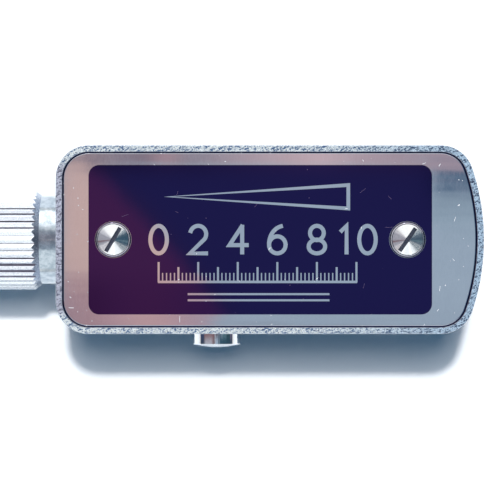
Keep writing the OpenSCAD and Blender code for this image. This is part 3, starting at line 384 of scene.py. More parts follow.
def case_shell():
    """Drawn cup; its cut rim is material 1 and the wall of the gap round the plate is 2."""
    base = outline(0.1)
    soft, worn, dressed = RIM_EDGE * 0.3, edge_wear(0.03, 3.1), rim_wear(0.022, 1.7)
    rings = back_edge(base, 0, BACK_Z, BACK_EDGE)
    rings.append(case_ring(base, 0, RIM_Z - RIM_EDGE))
    first = len(rings)
    rings.append(case_ring(base, soft, RIM_Z - soft, worn))
    rings.append(case_ring(base, RIM_EDGE, RIM_Z, worn))
    for inset in (0.14, 0.21, 0.28, 0.35, 0.42, 0.48, 0.54, RIM_W - RIM_EDGE):
        rings.append(case_ring(base, inset, RIM_Z, dressed))
    last = len(rings) - 1
    rings.append(case_ring(base, RIM_W - soft, RIM_Z - soft))
    rings.append(case_ring(base, RIM_W, RIM_Z - RIM_EDGE))
    rings.append(case_ring(base, RIM_W, PLATE_Z0))
    rings.append(case_ring(base, WALL, PLATE_Z0 - RIM_STEP))
    rings += back_edge(base, WALL, BACK_Z + WALL, BACK_EDGE - WALL)[::-1]
    verts, faces = skin(rings)
    rim, gap = range(first, last), range(last + 1, last + 5)
    rows = (i // len(base) for i in range(len(faces)))
    marks = [1 if row in rim else 2 if row in gap else 0 for row in rows]
    shell = cut(finish_mesh("case_body", verts, faces, marks=marks), case_holes())
    drop_slivers(shell)
    return weighted(shell)


def name_plate():
    """Inset plate with a sunk field and a recess for each screw; the recesses are material 1, painted shade.
    """
    base, steps = outline(0.35), 5
    rings = [case_ring(base, PLATE_INSET, PLATE_Z0)]
    for i in range(steps + 1):
        a = TAU / 4 * i / steps
        rings.append(case_ring(base, PLATE_INSET + PLATE_EDGE * (1 - math.cos(a)),
                               PLATE_Z1 - PLATE_EDGE * (1 - math.sin(a))))
    verts, faces = skin(rings)
    plate = finish_mesh("name_plate_body", verts, faces)
    pocket = inset_points(rounded_rect(PANEL_X, PANEL_Y, PANEL_R), -PANEL_GAP)
    tools = [prism("cutter", pocket, PLATE_Z1 - PANEL_DEEP, PLATE_Z1 + 1)]
    below, lip, over = PLATE_Z0 - 1, PLATE_Z1 - RECESS_EDGE, PLATE_Z1 + RECESS_EDGE
    recess = [(0, below), (PLATE_HOLE_R, below), (PLATE_HOLE_R, HEAD_Z0), (RECESS_R, HEAD_Z0),
              (RECESS_R, lip), (RECESS_R + 2 * RECESS_EDGE, over), (0, over)]
    tools += [cutter(recess, (x, 0, 0), Z_AXIS, 96) for _, x, _ in SCREWS]
    cut(plate, tools)
    mark(plate, lambda c: 1 if HEAD_Z0 - 0.01 < c.z < lip and any(
        math.hypot(c.x - x, c.y) < RECESS_R + 0.01 for _, x, _ in SCREWS) else 0)
    return weighted(plate)


def panel():
    """Dark anodised field, sunk a little into the plate."""
    points = rounded_rect(PANEL_X, PANEL_Y, PANEL_R)
    sheet = prism("name_panel", points, PLATE_Z1 - PANEL_DEEP, PLATE_Z1 - PANEL_EDGE, PANEL_EDGE)
    below, above = 5, 7
    hole = rod(RECESS_R + RECESS_EDGE * 0.7, below, above)
    return weighted(cut(sheet, [cutter(hole, (x, 0, 0), Z_AXIS, 96) for _, x, _ in SCREWS]))


# ---- Marks on the panel: a plain scale of seconds ----

SCALE_X0, SCALE_X1, SCALE_Y, SECONDS, PER_SECOND = 19.7, 39.1, -4.15, 10, 5
RULE_W, LONG_TICK_W, TICK_W = 0.24, 0.2, 0.12
TWO_TALL, ONE_TALL, TICK_TALL = 1.9, 1.4, 0.85
DIGIT_H, DIGIT_W, DIGIT_GAP, DIGIT_Y, DIGIT_LINE = 2.7, 0.6, 0.2, -1.35, 0.4
WEDGE, WEDGE_LINE = ((20.6, 4.2), (38.3, 5.35), (38.3, 3.05), "loop"), 0.36
STRIPE_X, STRIPE_Y, STRIPE_W = (22.6, 36.4), (-5.35, -5.95), 0.2


def bow(cx, cy, rx, ry, a0, a1, n):
    """Elliptical arc between two angles in degrees."""
    return [(cx + rx * math.cos(math.radians(a0 + (a1 - a0) * i / n)),
             cy + ry * math.sin(math.radians(a0 + (a1 - a0) * i / n))) for i in range(n + 1)]


def hoop(cx, cy, rx, ry, n):
    return bow(cx, cy, rx, ry, 0, 360, n)[:-1] + ["loop"]


# Strokes of each numeral, one unit high: those that are laid first, and those that cross them
DIGITS = {
    "0": ([hoop(0.3, 0.5, 0.3, 0.5, 32)], []),
    "1": ([[(0.14, 0.8), (0.34, 1.0), (0.34, 0.0)]], []),
    "2": ([bow(0.3, 0.7, 0.29, 0.3, 165, -38, 20) + [(0.0, 0.0), (0.62, 0.0)]], []),
    "4": ([[(0.46, 1.0), (0.0, 0.3), (0.66, 0.3)]], [[(0.46, 0.0), (0.46, 1.0)]]),
    "6": ([hoop(0.3, 0.31, 0.3, 0.31, 28)], [bow(0.56, 0.34, 0.56, 0.66, 186, 100, 14)]),
    "8": ([hoop(0.3, 0.74, 0.25, 0.26, 24)], [hoop(0.3, 0.25, 0.3, 0.25, 28)]),
}


def ribbon(points, width, z0, z1):
    """Raised band of even width along a flat path, and a little past the ends of an open one."""
    loop = points[-1] == "loop"
    pts = [Vector(p) for p in points if p != "loop"]
    n = len(pts)
    left, right = [], []
    for i, p in enumerate(pts):
        a = pts[i - 1] if loop or i > 0 else None
        b = pts[(i + 1) % n] if loop or i < n - 1 else None
        d0 = (p - a).normalized() if a is not None else (b - p).normalized()
        d1 = (b - p).normalized() if b is not None else d0
        t = (d0 + d1).normalized()
        side = Vector((-t.y, t.x))
        reach = width / 2 / max(0.45, t.dot(d1))
        longer = 0 if a is not None and b is not None else width * (-0.25 if a is None else 0.25)
        left.append(p + side * reach + t * longer)
        right.append(p - side * reach + t * longer)
    verts, faces = [], []
    for z, row in ((z0, left), (z1, left), (z1, right), (z0, right)):
        verts += [(q.x, q.y, z) for q in row]
    for i in range(n if loop else n - 1):
        k = (i + 1) % n
        for a, b in ((0, 1), (1, 2), (2, 3), (3, 0)):
            faces.append((a * n + i, a * n + k, b * n + k, b * n + i))
    if not loop:
        faces.append((0, n, 2 * n, 3 * n))
        faces.append((n - 1, 4 * n - 1, 3 * n - 1, 2 * n - 1))
    return verts, faces


def panel_marks():
    """Scale of ten seconds under its numerals, a wedge that grows with time, and two pinstripes."""
    z0, z1 = PLATE_Z1 - 0.012, PLATE_Z1 + 0.004
    layers = ([], []), ([], [])

    def add(points, width, layer=0):
        verts, faces = layers[layer]
        v, f = ribbon(points, width, z0, z1)
        faces.extend(tuple(len(verts) + i for i in face) for face in f)
        verts.extend(v)

    span, ticks = SCALE_X1 - SCALE_X0, PER_SECOND * SECONDS
    add([(SCALE_X0, SCALE_Y), (SCALE_X1, SCALE_Y)], RULE_W)
    for i in range(ticks + 1):
        x = SCALE_X0 + span * i / ticks
        long = i % PER_SECOND == 0
        tall = TWO_TALL if i % (2 * PER_SECOND) == 0 else ONE_TALL if long else TICK_TALL
        add([(x, SCALE_Y), (x, SCALE_Y + tall)], LONG_TICK_W if long else TICK_W, 1)
    for label in ("0", "2", "4", "6", "8", "10"):
        wide = DIGIT_H * (DIGIT_W + DIGIT_GAP) * len(label) - DIGIT_GAP * DIGIT_H
        left = SCALE_X0 + span * int(label) / SECONDS - wide / 2
        for digit in label:
            for layer, paths in enumerate(DIGITS[digit]):
                for path in paths:
                    add([q if q == "loop" else (left + q[0] * DIGIT_H, DIGIT_Y + q[1] * DIGIT_H)
                         for q in path], DIGIT_LINE, layer)
            left += DIGIT_H * (DIGIT_W + DIGIT_GAP)
    add(WEDGE, WEDGE_LINE)
    for y in STRIPE_Y:
        add([(x, y) for x in STRIPE_X], STRIPE_W)
    first, second = (finish_mesh("panel_marks", *layer) for layer in layers)
    return cut(first, [second], "UNION")


# ---- Screws ----

def turned_face(r0, r1, h0, h1, pitch, deep, lean=0.5):
    """Profile of a turned face between two radii, with its fine V-shaped tool marks."""
    n = 2 * max(1, round(abs(r1 - r0) / pitch))
    out = []
    for i in range(n + 1):
        t = (i + (2 * lean - 1) * (i % 2)) / n
        out.append((r0 + (r1 - r0) * t, h0 + (h1 - h0) * t - deep * (i % 2)))
    return out


def plate_screw(name, x, angle):
    """Turned head with a groove round its face and a blind slot; groove and slot are material 1, painted
    shade.
    """
    top, rim, groove = HEAD_Z1, HEAD_Z1 - 0.12, HEAD_Z1 - 0.18
    profile = [(0, top - 0.004)]
    profile += turned_face(0.03, FACE_R, top - 0.005, top - 0.11, 0.1, 0.0165, 0.76)
    profile += [(FACE_R + 0.02, groove), (FACE_R + 0.05, groove)]
    profile += rounded([(FACE_R + 0.06, rim, 0), (FACE_R + 0.1, rim, 0.03), (HEAD_R, top - 0.25, 0.08),
                        (HEAD_R, HEAD_Z0 + 0.02, 0)])
    profile += [(HEAD_R - 0.02, HEAD_Z0), (SHANK_R, HEAD_Z0), (SHANK_R, SHANK_Z0 + 0.05),
                (SHANK_R - 0.12, SHANK_Z0), (0, SHANK_Z0)]
    screw = lathe_piece(name, profile, 96, (x, 0, 0), Z_AXIS, origin=(x, 0, top))
    mark(screw, lambda c: 1 if FACE_R < math.hypot(c.x, c.y) < FACE_R + 0.055 and c.z > -0.2 else 0)
    return cut(screw, [slot_cutter(x, 0, top - SLOT_DEEP, top, angle, reach=1.36)])


def back_screw(name, x):
    """Sunk head, flush with the back; the slot is material 1, painted shade."""
    place = (x, 0, BACK_Z)
    profile = [(0, 0.001)] + turned_face(0.05, SINK_R - 0.09, 0.001, 0.001, 0.15, -0.014)
    profile += [(SINK_R - 0.04, 0.0), (SINK_R, 0.03), (SHANK_R, SINK_DEEP), (SHANK_R, BACK_SHANK),
                (0, BACK_SHANK)]
    screw = lathe_piece(name, profile, 72, place, Z_AXIS, origin=place)
    return cut(screw, [slot_cutter(x, 0, BACK_Z + BACK_SLOT, BACK_Z, 0, up=-1)])


# ---- Knurled pieces ----

def knurl_columns(teeth, radius, deep):
    """Angle and radius round a knurl, with a slightly rounded crest and root."""
    shape = [(-0.5, 1.0), (-0.45, 0.93), (-0.34, 0.7), (-0.2, 0.4), (-0.08, 0.13), (0.0, 0.05),
             (0.08, 0.13), (0.2, 0.4), (0.34, 0.7), (0.45, 0.93)]
    wave = random.Random(7)
    out = []
    for i in range(teeth):
        off = wave.uniform(-0.02, 0.02)
        low = wave.uniform(0.74, 1.0)
        for t, d in shape:
            out.append(((i + t + (off if abs(t) < 0.4 else 0)) * TAU / teeth, radius - deep * d * low))
    return out


def knurl_rows(columns, end, place):
    """Rings of points: end gives the rows (r, h) of a column from its radius."""
    rows = [end(rho) for _, rho in columns]
    rings = []
    for k in range(len(rows[0])):
        rings.append([place @ Vector((row[k][0] * math.cos(a), row[k][0] * math.sin(a), row[k][1]))
                      for (a, _), row in zip(columns, rows)])
    return rings


def coupling_collar():
    """Knurled ring, cone, neck and spigot: materials 0 and 3 (painted shade in the roots), 2 (painted shade
    on the cone), 1 and 1.
    """
    chamfer, bevel, run = 0.35, 0.1, 0.8
    ring_in, ring_out, ring_deep = 3.5, 3.9, 0.09
    face_r = KNURL_R - chamfer
    slope = (KNURL_R - NECK_R) / (CONE_END - KNURL_LEN)
    columns = knurl_columns(KNURL_TEETH, KNURL_R, KNURL_DEEP)

    def rows(rho):
        outer = min(rho, face_r)
        start = max(0.0, chamfer - (KNURL_R - rho))
        stop = KNURL_LEN + (KNURL_R - rho) / slope
        mouth = [(TIP_R + 0.01, TIP_ROOT), (TIP_R + 0.01, 0.12), (TIP_R + 0.13, 0.0), (ring_in, 0.0),
                 (ring_in + bevel, ring_deep), (ring_out - bevel, ring_deep)]
        face = turned_face(ring_out, outer - 0.06, 0.0, 0.0, 0.2, -0.006)
        knurl = [(outer, 0.012), (rho, start + 0.012), (rho, start + run), (rho, stop - run), (rho, stop)]
        neck = [(NECK_R + 0.03, CONE_END - 0.02), (NECK_R, CONE_END + 0.02), (NECK_R, 9.0),
                (NECK_R, NECK_END - bevel), (NECK_R - bevel, NECK_END)]
        spigot = [(SPIGOT_R, NECK_END), (SPIGOT_R, SPIGOT_END - bevel), (SPIGOT_R - bevel, SPIGOT_END),
                  (SPIGOT_BORE, SPIGOT_END), (SPIGOT_BORE, TIP_ROOT)]
        return mouth + face + knurl + neck + spigot

    verts, faces = tube(knurl_rows(columns, rows, axis_frame((0, 0, 0), X_AXIS)))
    collar = finish_mesh("collar_body", verts, faces, sharp=24)

    def number(c):
        if c.x > CONE_END or c.x < 0.2:
            return 1
        if c.x > KNURL_LEN + 0.2:
            return 2
        # Painted shade in the knurl's roots, reaching further up the flanks on the front side towards -Y
        wider_root_shade = -0.95 < math.atan2(c.y, c.z) < -0.4
        root = KNURL_R - (0.55 if wider_root_shade else 0.74) * KNURL_DEEP
        return 3 if math.hypot(c.y, c.z) < root else 0

    mark(collar, number)
    return collar


def thread_radius(x, turns):
    """Radius of the tapered thread at a place on the axis and a share of a turn."""
    run_in, relief, crest, ease = 0.5, 0.18, 0.08, 0.35
    cone = TIP_R + (TIP_END_R - TIP_R) * (-x / TIP_LEN)
    if x > -relief:
        return cone - THREAD_DEEP
    ends = min(1.0, (x + TIP_LEN) / run_in)
    tri = abs(2 * ((x / THREAD_PITCH - turns) % 1.0) - 1)
    flank = min(1.0, max(0.0, (tri - crest) / (1 - 2 * crest)))
    flank = flank * flank * (3 - 2 * flank) * ease + flank * (1 - ease)
    return cone - THREAD_DEEP * (1 - flank) - THREAD_DEEP * flank * (1 - ends)


def release_tip():
    """Tapered nose with one true helical thread."""
    n, per_turn, bevel = 64, 12, 0.06
    rows = round(TIP_LEN / THREAD_PITCH) * per_turn
    place = axis_frame((0, 0, 0), X_AXIS)

    def ring(h, radius):
        radii = [radius(h, i / n) if callable(radius) else radius for i in range(n)]
        return [place @ Vector((r * math.cos(TAU * i / n), r * math.sin(TAU * i / n), h))
                for i, r in enumerate(radii)]

    rings = [ring(-TIP_LEN + bevel, TIP_BORE), ring(-TIP_LEN, TIP_BORE + bevel),
             ring(-TIP_LEN, TIP_END_R - THREAD_DEEP - 0.04)]
    for i in range(rows + 1):
        rings.append(ring(-TIP_LEN + 0.03 + (TIP_LEN - 0.05) * i / rows, thread_radius))
    rings += [ring(0.0, TIP_R), ring(TIP_ROOT, TIP_R), ring(TIP_ROOT, TIP_BORE)]
    verts, faces = tube(rings)
    return finish_mesh("tip_body", verts, faces, sharp=40)


def release_pin():
    """Round-ended pin that widens to its rod where it enters the tip."""
    profile = rounded([(0, PIN_X0, 0), (PIN_R - 0.2, PIN_X0, 0.12), (PIN_R, PIN_X0 + 0.22, 0.08),
                       (PIN_R, ROD_X0, 0), (PIN_R, ROD_X0 + 0.02, 0), (ROD_R - 0.05, ROD_X0 + 0.1, 0.04),
                       (ROD_R, ROD_X0 + 0.15, 0.03), (ROD_R, ROD_X1, 0), (0, ROD_X1, 0)])
    return lathe_piece("pin_body", profile, 40, (0, 0, 0), X_AXIS)


def winding_knob():
    """Knurled disc with a dished face, a well for its screw and a seat for the arbor."""
    depth, bevel, run = KNOB_Z1 - KNOB_Z0, 0.12, 0.5
    columns = knurl_columns(KNOB_TEETH, KNOB_R, KNURL_DEEP)
    face = turned_face(WELL_R + 0.25, DISH_R - 0.25, DISH, DISH, 0.25, -0.01)

    def rows(rho):
        cut_in = max(0.0, KNOB_EDGE - (KNOB_R - rho))
        inner = min(rho, KNOB_R - KNOB_EDGE)
        well = [(ARBOR_R, WELL), (WELL_R, WELL), (WELL_R, DISH + bevel), (WELL_R + bevel, DISH)]
        brim = [(DISH_R - bevel, DISH), (DISH_R, DISH * 0.4), (DISH_R + 0.08, 0.0), (inner - 0.05, 0.0)]
        knurl = [(inner, 0.012), (rho, cut_in + 0.012), (rho, cut_in + run), (rho, depth - cut_in - run),
                 (rho, depth - cut_in), (inner, depth)]
        return well + face + brim + knurl + [(SEAT_R, depth), (SEAT_R, SEAT), (ARBOR_R, SEAT)]

    place = (*KNOB, KNOB_Z0)
    verts, faces = tube(knurl_rows(columns, rows, axis_frame(place, Z_AXIS)))
    return finish_mesh("knob_body", verts, faces, origin=place, sharp=24)


def knob_screw():
    """Screw in the knob's well; the slot is material 1, painted shade."""
    r, h, end = KNOB_SCREW_R, KNOB_SCREW_H, KNOB_SCREW_H + KNOB_SHANK
    profile = [(0, 0.001)] + turned_face(0.05, r - 0.2, 0.001, 0.001, 0.14, -0.014)
    profile += rounded([(r - 0.12, 0.0, 0), (r, 0.1, 0.06), (r, h, 0)])
    profile += [(KNOB_SHANK_R, h), (KNOB_SHANK_R, end), (0, end)]
    z = KNOB_Z0 + 0.2
    screw = lathe_piece("knob_screw_body", profile, 80, (*KNOB, z), Z_AXIS, origin=(*KNOB, z))
    return cut(screw, [slot_cutter(*KNOB, z + SLOT_DEEP, z, 24, up=-1)])


def start_button():
    """Slightly domed button with a flange inside the case; its face is material 1, painted shade."""
    profile = [(0, BUTTON_FACE)]
    profile += [(a, BUTTON_FACE + b + BUTTON_DOME * (a / DOME_R) ** 2)
                for a, b in turned_face(0.05, DOME_R, 0, 0, 0.2, -0.006)]
    edge = BUTTON_FACE + BUTTON_DOME * (2 * BUTTON_R / DOME_R - 1)
    profile += rounded([(DOME_R + 0.02, BUTTON_FACE + BUTTON_DOME * 1.02, 0), (BUTTON_R, edge, 0.14),
                        (BUTTON_R, FLANGE_Y0 - 0.02, 0), (BUTTON_R, FLANGE_Y0, 0),
                        (FLANGE_R, FLANGE_Y0, 0), (FLANGE_R, FLANGE_Y1, 0),
                        (STEM_R, FLANGE_Y1, 0), (STEM_R, STEM_Y1, 0), (0, STEM_Y1, 0)], 6)
    button = lathe_piece("button_body", profile, 96, (BUTTON_X, 0, 0), Y_AXIS,
                         origin=(BUTTON_X, BUTTON_FACE, 0))
    mark(button, lambda c: 1 if c.y < BUTTON_DOME * 1.6 else 0)
    return button


# ---- Materials ----

class Nodes:
    """Short calls that add nodes to a tree; values are numbers, colours or other nodes' outputs."""

    def __init__(self, tree):
        self.tree = tree

    def add(self, kind, inputs=None, **props):
        node = self.tree.nodes.new(kind)
        for key, value in props.items():
            setattr(node, key, value)
        for key, value in (inputs or {}).items():
            self.put(node.inputs[key], value)
        return node

    def put(self, socket, value):
        if isinstance(value, bpy.types.NodeSocket):
            self.tree.links.new(value, socket)
        elif socket.type == "RGBA":
            socket.default_value = (*value, 1)
        else:
            socket.default_value = value

    def math(self, op, a, b=0.0, c=0.0, clamp=False):
        return self.add("ShaderNodeMath", {0: a, 1: b, 2: c}, operation=op, use_clamp=clamp).outputs[0]

    def split(self, vector):
        return self.add("ShaderNodeSeparateXYZ", {0: vector}).outputs

    def times(self, first, *others):
        for other in others:
            first = self.math("MULTIPLY", first, other)
        return first

    def ramp(self, value, lo, hi, out0=0.0, out1=1.0):
        return self.add("ShaderNodeMapRange", {"Value": value, "From Min": lo, "From Max": hi,
                                               "To Min": out0, "To Max": out1},
                        interpolation_type="SMOOTHSTEP").outputs[0]

    def mix(self, factor, a, b):
        return self.add("ShaderNodeMix", {0: factor, 6: a, 7: b}, data_type="RGBA").outputs[2]


class Look(Nodes):
    """Builds one node material; coordinates are the object's own, in millimetres."""

    def __init__(self, name):
        self.mat = bpy.data.materials.new(name)
        self.mat.use_nodes = True
        super().__init__(self.mat.node_tree)
        self.bsdf = self.tree.nodes["Principled BSDF"]
        self.coord = self.add("ShaderNodeTexCoord").outputs["Object"]

    def set(self, **values):
        for key, value in values.items():
            self.put(self.bsdf.inputs[key.replace("_", " ")], value)

    def mm(self, scale=(1, 1, 1), turn=0, shift=0):
        """Place in millimetres, stretched, turned and shifted."""
        size = tuple(MM / s for s in scale)
        node = self.add("ShaderNodeMapping", {"Vector": self.coord, "Scale": size,
                                              "Rotation": (0, 0, math.radians(turn)),
                                              "Location": (-shift * size[0], -0.7 * shift * size[1], 0)},
                        vector_type="TEXTURE")
        return node.outputs[0]

    def noise(self, vector, scale, detail=3, rough=0.55):
        return self.add("ShaderNodeTexNoise", {"Vector": vector, "Scale": scale, "Detail": detail,
                                               "Roughness": rough}).outputs["Fac"]

    def blend(self, a, share_a, b, share_b):
        return self.math("ADD", self.times(a, share_a), self.times(b, share_b))

    def bump(self, height, deep):
        return self.add("ShaderNodeBump", {"Height": height, "Distance": deep * MM})

    def cells(self, cell, shift):
        """Cells of about a size: the voronoi node and each cell's three random values."""
        v = self.add("ShaderNodeTexVoronoi", {"Vector": self.mm(shift=shift), "Scale": 1 / cell})
        return v, self.add("ShaderNodeSeparateColor", {"Color": v.outputs["Color"]}).outputs

    def specks(self, cell, size, share, shift=0.0):
        """Sparse round specks: one in some of the cells."""
        v, rnd = self.cells(cell, shift)
        near = self.ramp(v.outputs["Distance"], size / cell, 0.6 * size / cell)
        return self.times(near, self.math("LESS_THAN", rnd[0], share))

    def scratches(self, cell, length, width, share, shift=0.0):
        """Sparse short scratches: a slight curve at its own angle in some of the cells."""
        v, rnd = self.cells(cell, shift)
        at = self.add("ShaderNodeVectorMath", {0: self.mm(shift=shift), 1: v.outputs["Position"]},
                      operation="SUBTRACT").outputs[0]
        turned = self.add("ShaderNodeVectorRotate", {"Vector": at, "Angle": self.times(rnd[1], TAU)},
                          rotation_type="Z_AXIS").outputs[0]
        x, y, _ = self.split(turned)
        across = self.math("ABSOLUTE", self.math("SUBTRACT", y, self.times(x, x, 0.22)))
        inside = self.math("LESS_THAN", self.math("ABSOLUTE", x), self.times(rnd[2], length))
        line = self.ramp(across, width, 0.4 * width)
        return self.times(line, self.times(inside, self.math("LESS_THAN", rnd[0], share)))


def metal(name, color, dark, rough, grain, scale, turn=0, deep=0.003, specks=0.12):
    """Bright metal: uneven polish, fine grain and a few specks and scratches."""
    m = Look(name)
    fine = m.noise(m.mm(grain, turn), scale, 4, 0.6)
    broad = m.noise(m.mm(), 0.35)
    wear = m.math("ADD", m.specks(0.9, 0.05, specks), m.scratches(2.6, 1.0, 0.025, specks * 2), clamp=True)
    tone = m.blend(fine, 0.75, broad, 0.25)
    level = m.ramp(tone, 0.3, 0.7, *rough)
    m.set(Metallic=1.0, Base_Color=m.mix(m.ramp(tone, 0.3, 0.7), dark, color))
    m.set(Roughness=m.math("ADD", level, m.times(wear, 0.25), clamp=True))
    m.set(Normal=m.bump(m.math("SUBTRACT", fine, m.times(wear, 0.6)), deep).outputs[0])
    return m.mat


def rim_metal():
    """Cut edge of the case: slanting strokes and flecks, with painted reflections that make it bluer on the
    long sides and at the far end.
    """
    m = Look("rim_cut")
    stroke = m.noise(m.mm((1.8, 7.0, 1), 28), 1.2, 3, 0.6)
    x, y, _ = m.split(m.coord)
    long_side_reflection = m.ramp(m.math("ABSOLUTE", y), 6.8 * MM, 7.8 * MM)
    flecks = m.noise(m.mm(), 5.6, 3, 0.65)
    mixed = m.blend(stroke, 0.5, flecks, 0.5)
    pits = m.specks(0.36, 0.08, 0.4)
    far = m.ramp(x, 32 * MM, 52 * MM)
    # Painted reflection: lighter tones on the long sides, darker ones at the far end
    dark = m.mix(far, m.mix(long_side_reflection, (0.22, 0.22, 0.29), (0.13, 0.22, 0.40)), (0.08, 0.12, 0.20))
    light = m.mix(far, m.mix(long_side_reflection, (0.64, 0.65, 0.77), (0.95, 1.0, 1.0)), (0.54, 0.71, 0.88))
    border = (0.455, 0.50)
    tone = m.mix(m.ramp(mixed, *border), dark, light)
    m.set(Metallic=m.ramp(mixed, *border, 0.86, 0.68), Base_Color=m.mix(pits, tone, (0.12, 0.13, 0.22)))
    m.set(Roughness=m.ramp(mixed, 0.35, 0.65, 0.38, 0.24))
    m.set(Normal=m.bump(m.math("SUBTRACT", mixed, m.times(pits, 0.1)), 0.34).outputs[0])
    return m.mat


def plate_metal():
    """Nearly polished aluminium, slightly wavy, with pale specks and scratches in the coating."""
    m = Look("plate_aluminium")
    fine = m.noise(m.mm((1, 0.25, 1)), 7.0, 4, 0.65)
    broad = m.noise(m.mm(), 0.22)
    fleck = m.noise(m.mm(), 4.5, 2, 0.7)
    specks = m.math("ADD", m.specks(0.45, 0.05, 0.4), m.specks(1.3, 0.075, 0.3, 3.0), clamp=True)
    specks = m.times(specks, m.ramp(fleck, 0.44, 0.54))
    marks = m.math("ADD", specks, m.scratches(1.5, 0.3, 0.024, 0.2, 1.0), clamp=True)
    waves = m.noise(m.mm((0.12, 1, 1)), 0.7, 1)
    tone = m.blend(fine, 0.35, broad, 0.65)
    color = m.mix(m.ramp(tone, 0.35, 0.65), (0.77, 0.775, 0.79), (0.84, 0.84, 0.85))
    level = m.ramp(tone, 0.3, 0.7, 0.03, 0.055)
    m.set(Metallic=m.math("SUBTRACT", 1.0, marks), Base_Color=m.mix(marks, color, (1.0, 1.0, 1.0)))
    m.set(Roughness=m.math("ADD", level, m.times(marks, 0.6), clamp=True))
    surface = m.bump(m.math("ADD", m.times(fine, 0.1), marks), 0.0015)
    m.put(surface.inputs["Normal"], m.bump(waves, 0.002).outputs[0])
    m.set(Normal=surface.outputs[0])
    return m.mat


def panel_metal():
    """Dark violet-blue anodising over bright aluminium, with a painted warm reflection that makes it redder
    beyond a slanting border.
    """
    m = Look("panel_anodised")
    fine = m.noise(m.mm(), 12.0, 3, 0.7)
    broad = m.noise(m.mm(), 0.3)
    dust = m.math("ADD", m.specks(0.9, 0.05, 0.3), m.scratches(2.6, 0.4, 0.02, 0.11, 2.0), clamp=True)
    x, y, _ = m.split(m.coord)
    # Painted reflection: redder below and left of two slanting lines, like the warm patch that the plate
    # reflects
    lean = m.math("MAXIMUM", m.math("SUBTRACT", m.times(x, 0.9), 19.37 * MM),
                  m.math("SUBTRACT", m.times(x, 1.19), 24.53 * MM))
    lean = m.math("ADD", lean, m.math("ADD", y, m.times(broad, 2 * MM)))
    warm_reflection = m.ramp(lean, 1.8 * MM, -1.2 * MM)
    deep = m.mix(warm_reflection, (0.031, 0.0225, 0.112), (0.068, 0.026, 0.138))
    level = m.ramp(fine, 0.3, 0.7, 0.03, 0.05)
    m.set(Metallic=1.0, Base_Color=m.mix(dust, deep, (0.42, 0.30, 0.50)))
    m.set(Roughness=m.math("ADD", level, m.times(dust, 0.35), clamp=True))
    m.set(Normal=m.bump(fine, 0.0003).outputs[0])
    return m.mat


def knurl_metal(name, color, dark, shine):
    """Satin knurl: part of the light is scattered, so the flanks stay pale."""
    m = Look(name)
    along = m.noise(m.mm((0.35, 2, 2)), 4.0, 4, 0.65)
    fine = m.noise(m.mm(), 10.0, 3, 0.7)
    pits = m.specks(1.1, 0.06, 0.18)
    tone = m.blend(along, 0.6, fine, 0.4)
    base = m.mix(m.ramp(tone, 0.35, 0.65), dark, color)
    m.set(Metallic=shine, Base_Color=m.mix(pits, base, (0.10, 0.12, 0.16)))
    m.set(Roughness=m.ramp(tone, 0.3, 0.7, 0.22, 0.34))
    m.set(Normal=m.bump(m.math("SUBTRACT", tone, pits), 0.006).outputs[0])
    return m.mat


def neck_metal():
    """Polished nickel with stains and small dark pits."""
    m = Look("neck_nickel")
    fine = m.noise(m.mm((0.6, 2, 2)), 4.0, 4, 0.65)
    stain = m.noise(m.mm(), 1.6, 4, 0.6)
    pits = m.math("ADD", m.specks(0.6, 0.06, 0.22), m.specks(1.6, 0.12, 0.2, 4.0), clamp=True)
    base = m.mix(m.ramp(stain, 0.35, 0.65), (0.38, 0.44, 0.49), (0.57, 0.62, 0.66))
    level = m.ramp(fine, 0.3, 0.7, 0.09, 0.16)
    m.set(Metallic=1.0, Base_Color=m.mix(pits, base, (0.07, 0.10, 0.16)))
    m.set(Roughness=m.math("ADD", level, m.times(pits, 0.3), clamp=True))
    m.set(Normal=m.bump(m.math("SUBTRACT", fine, pits), 0.004).outputs[0])
    return m.mat


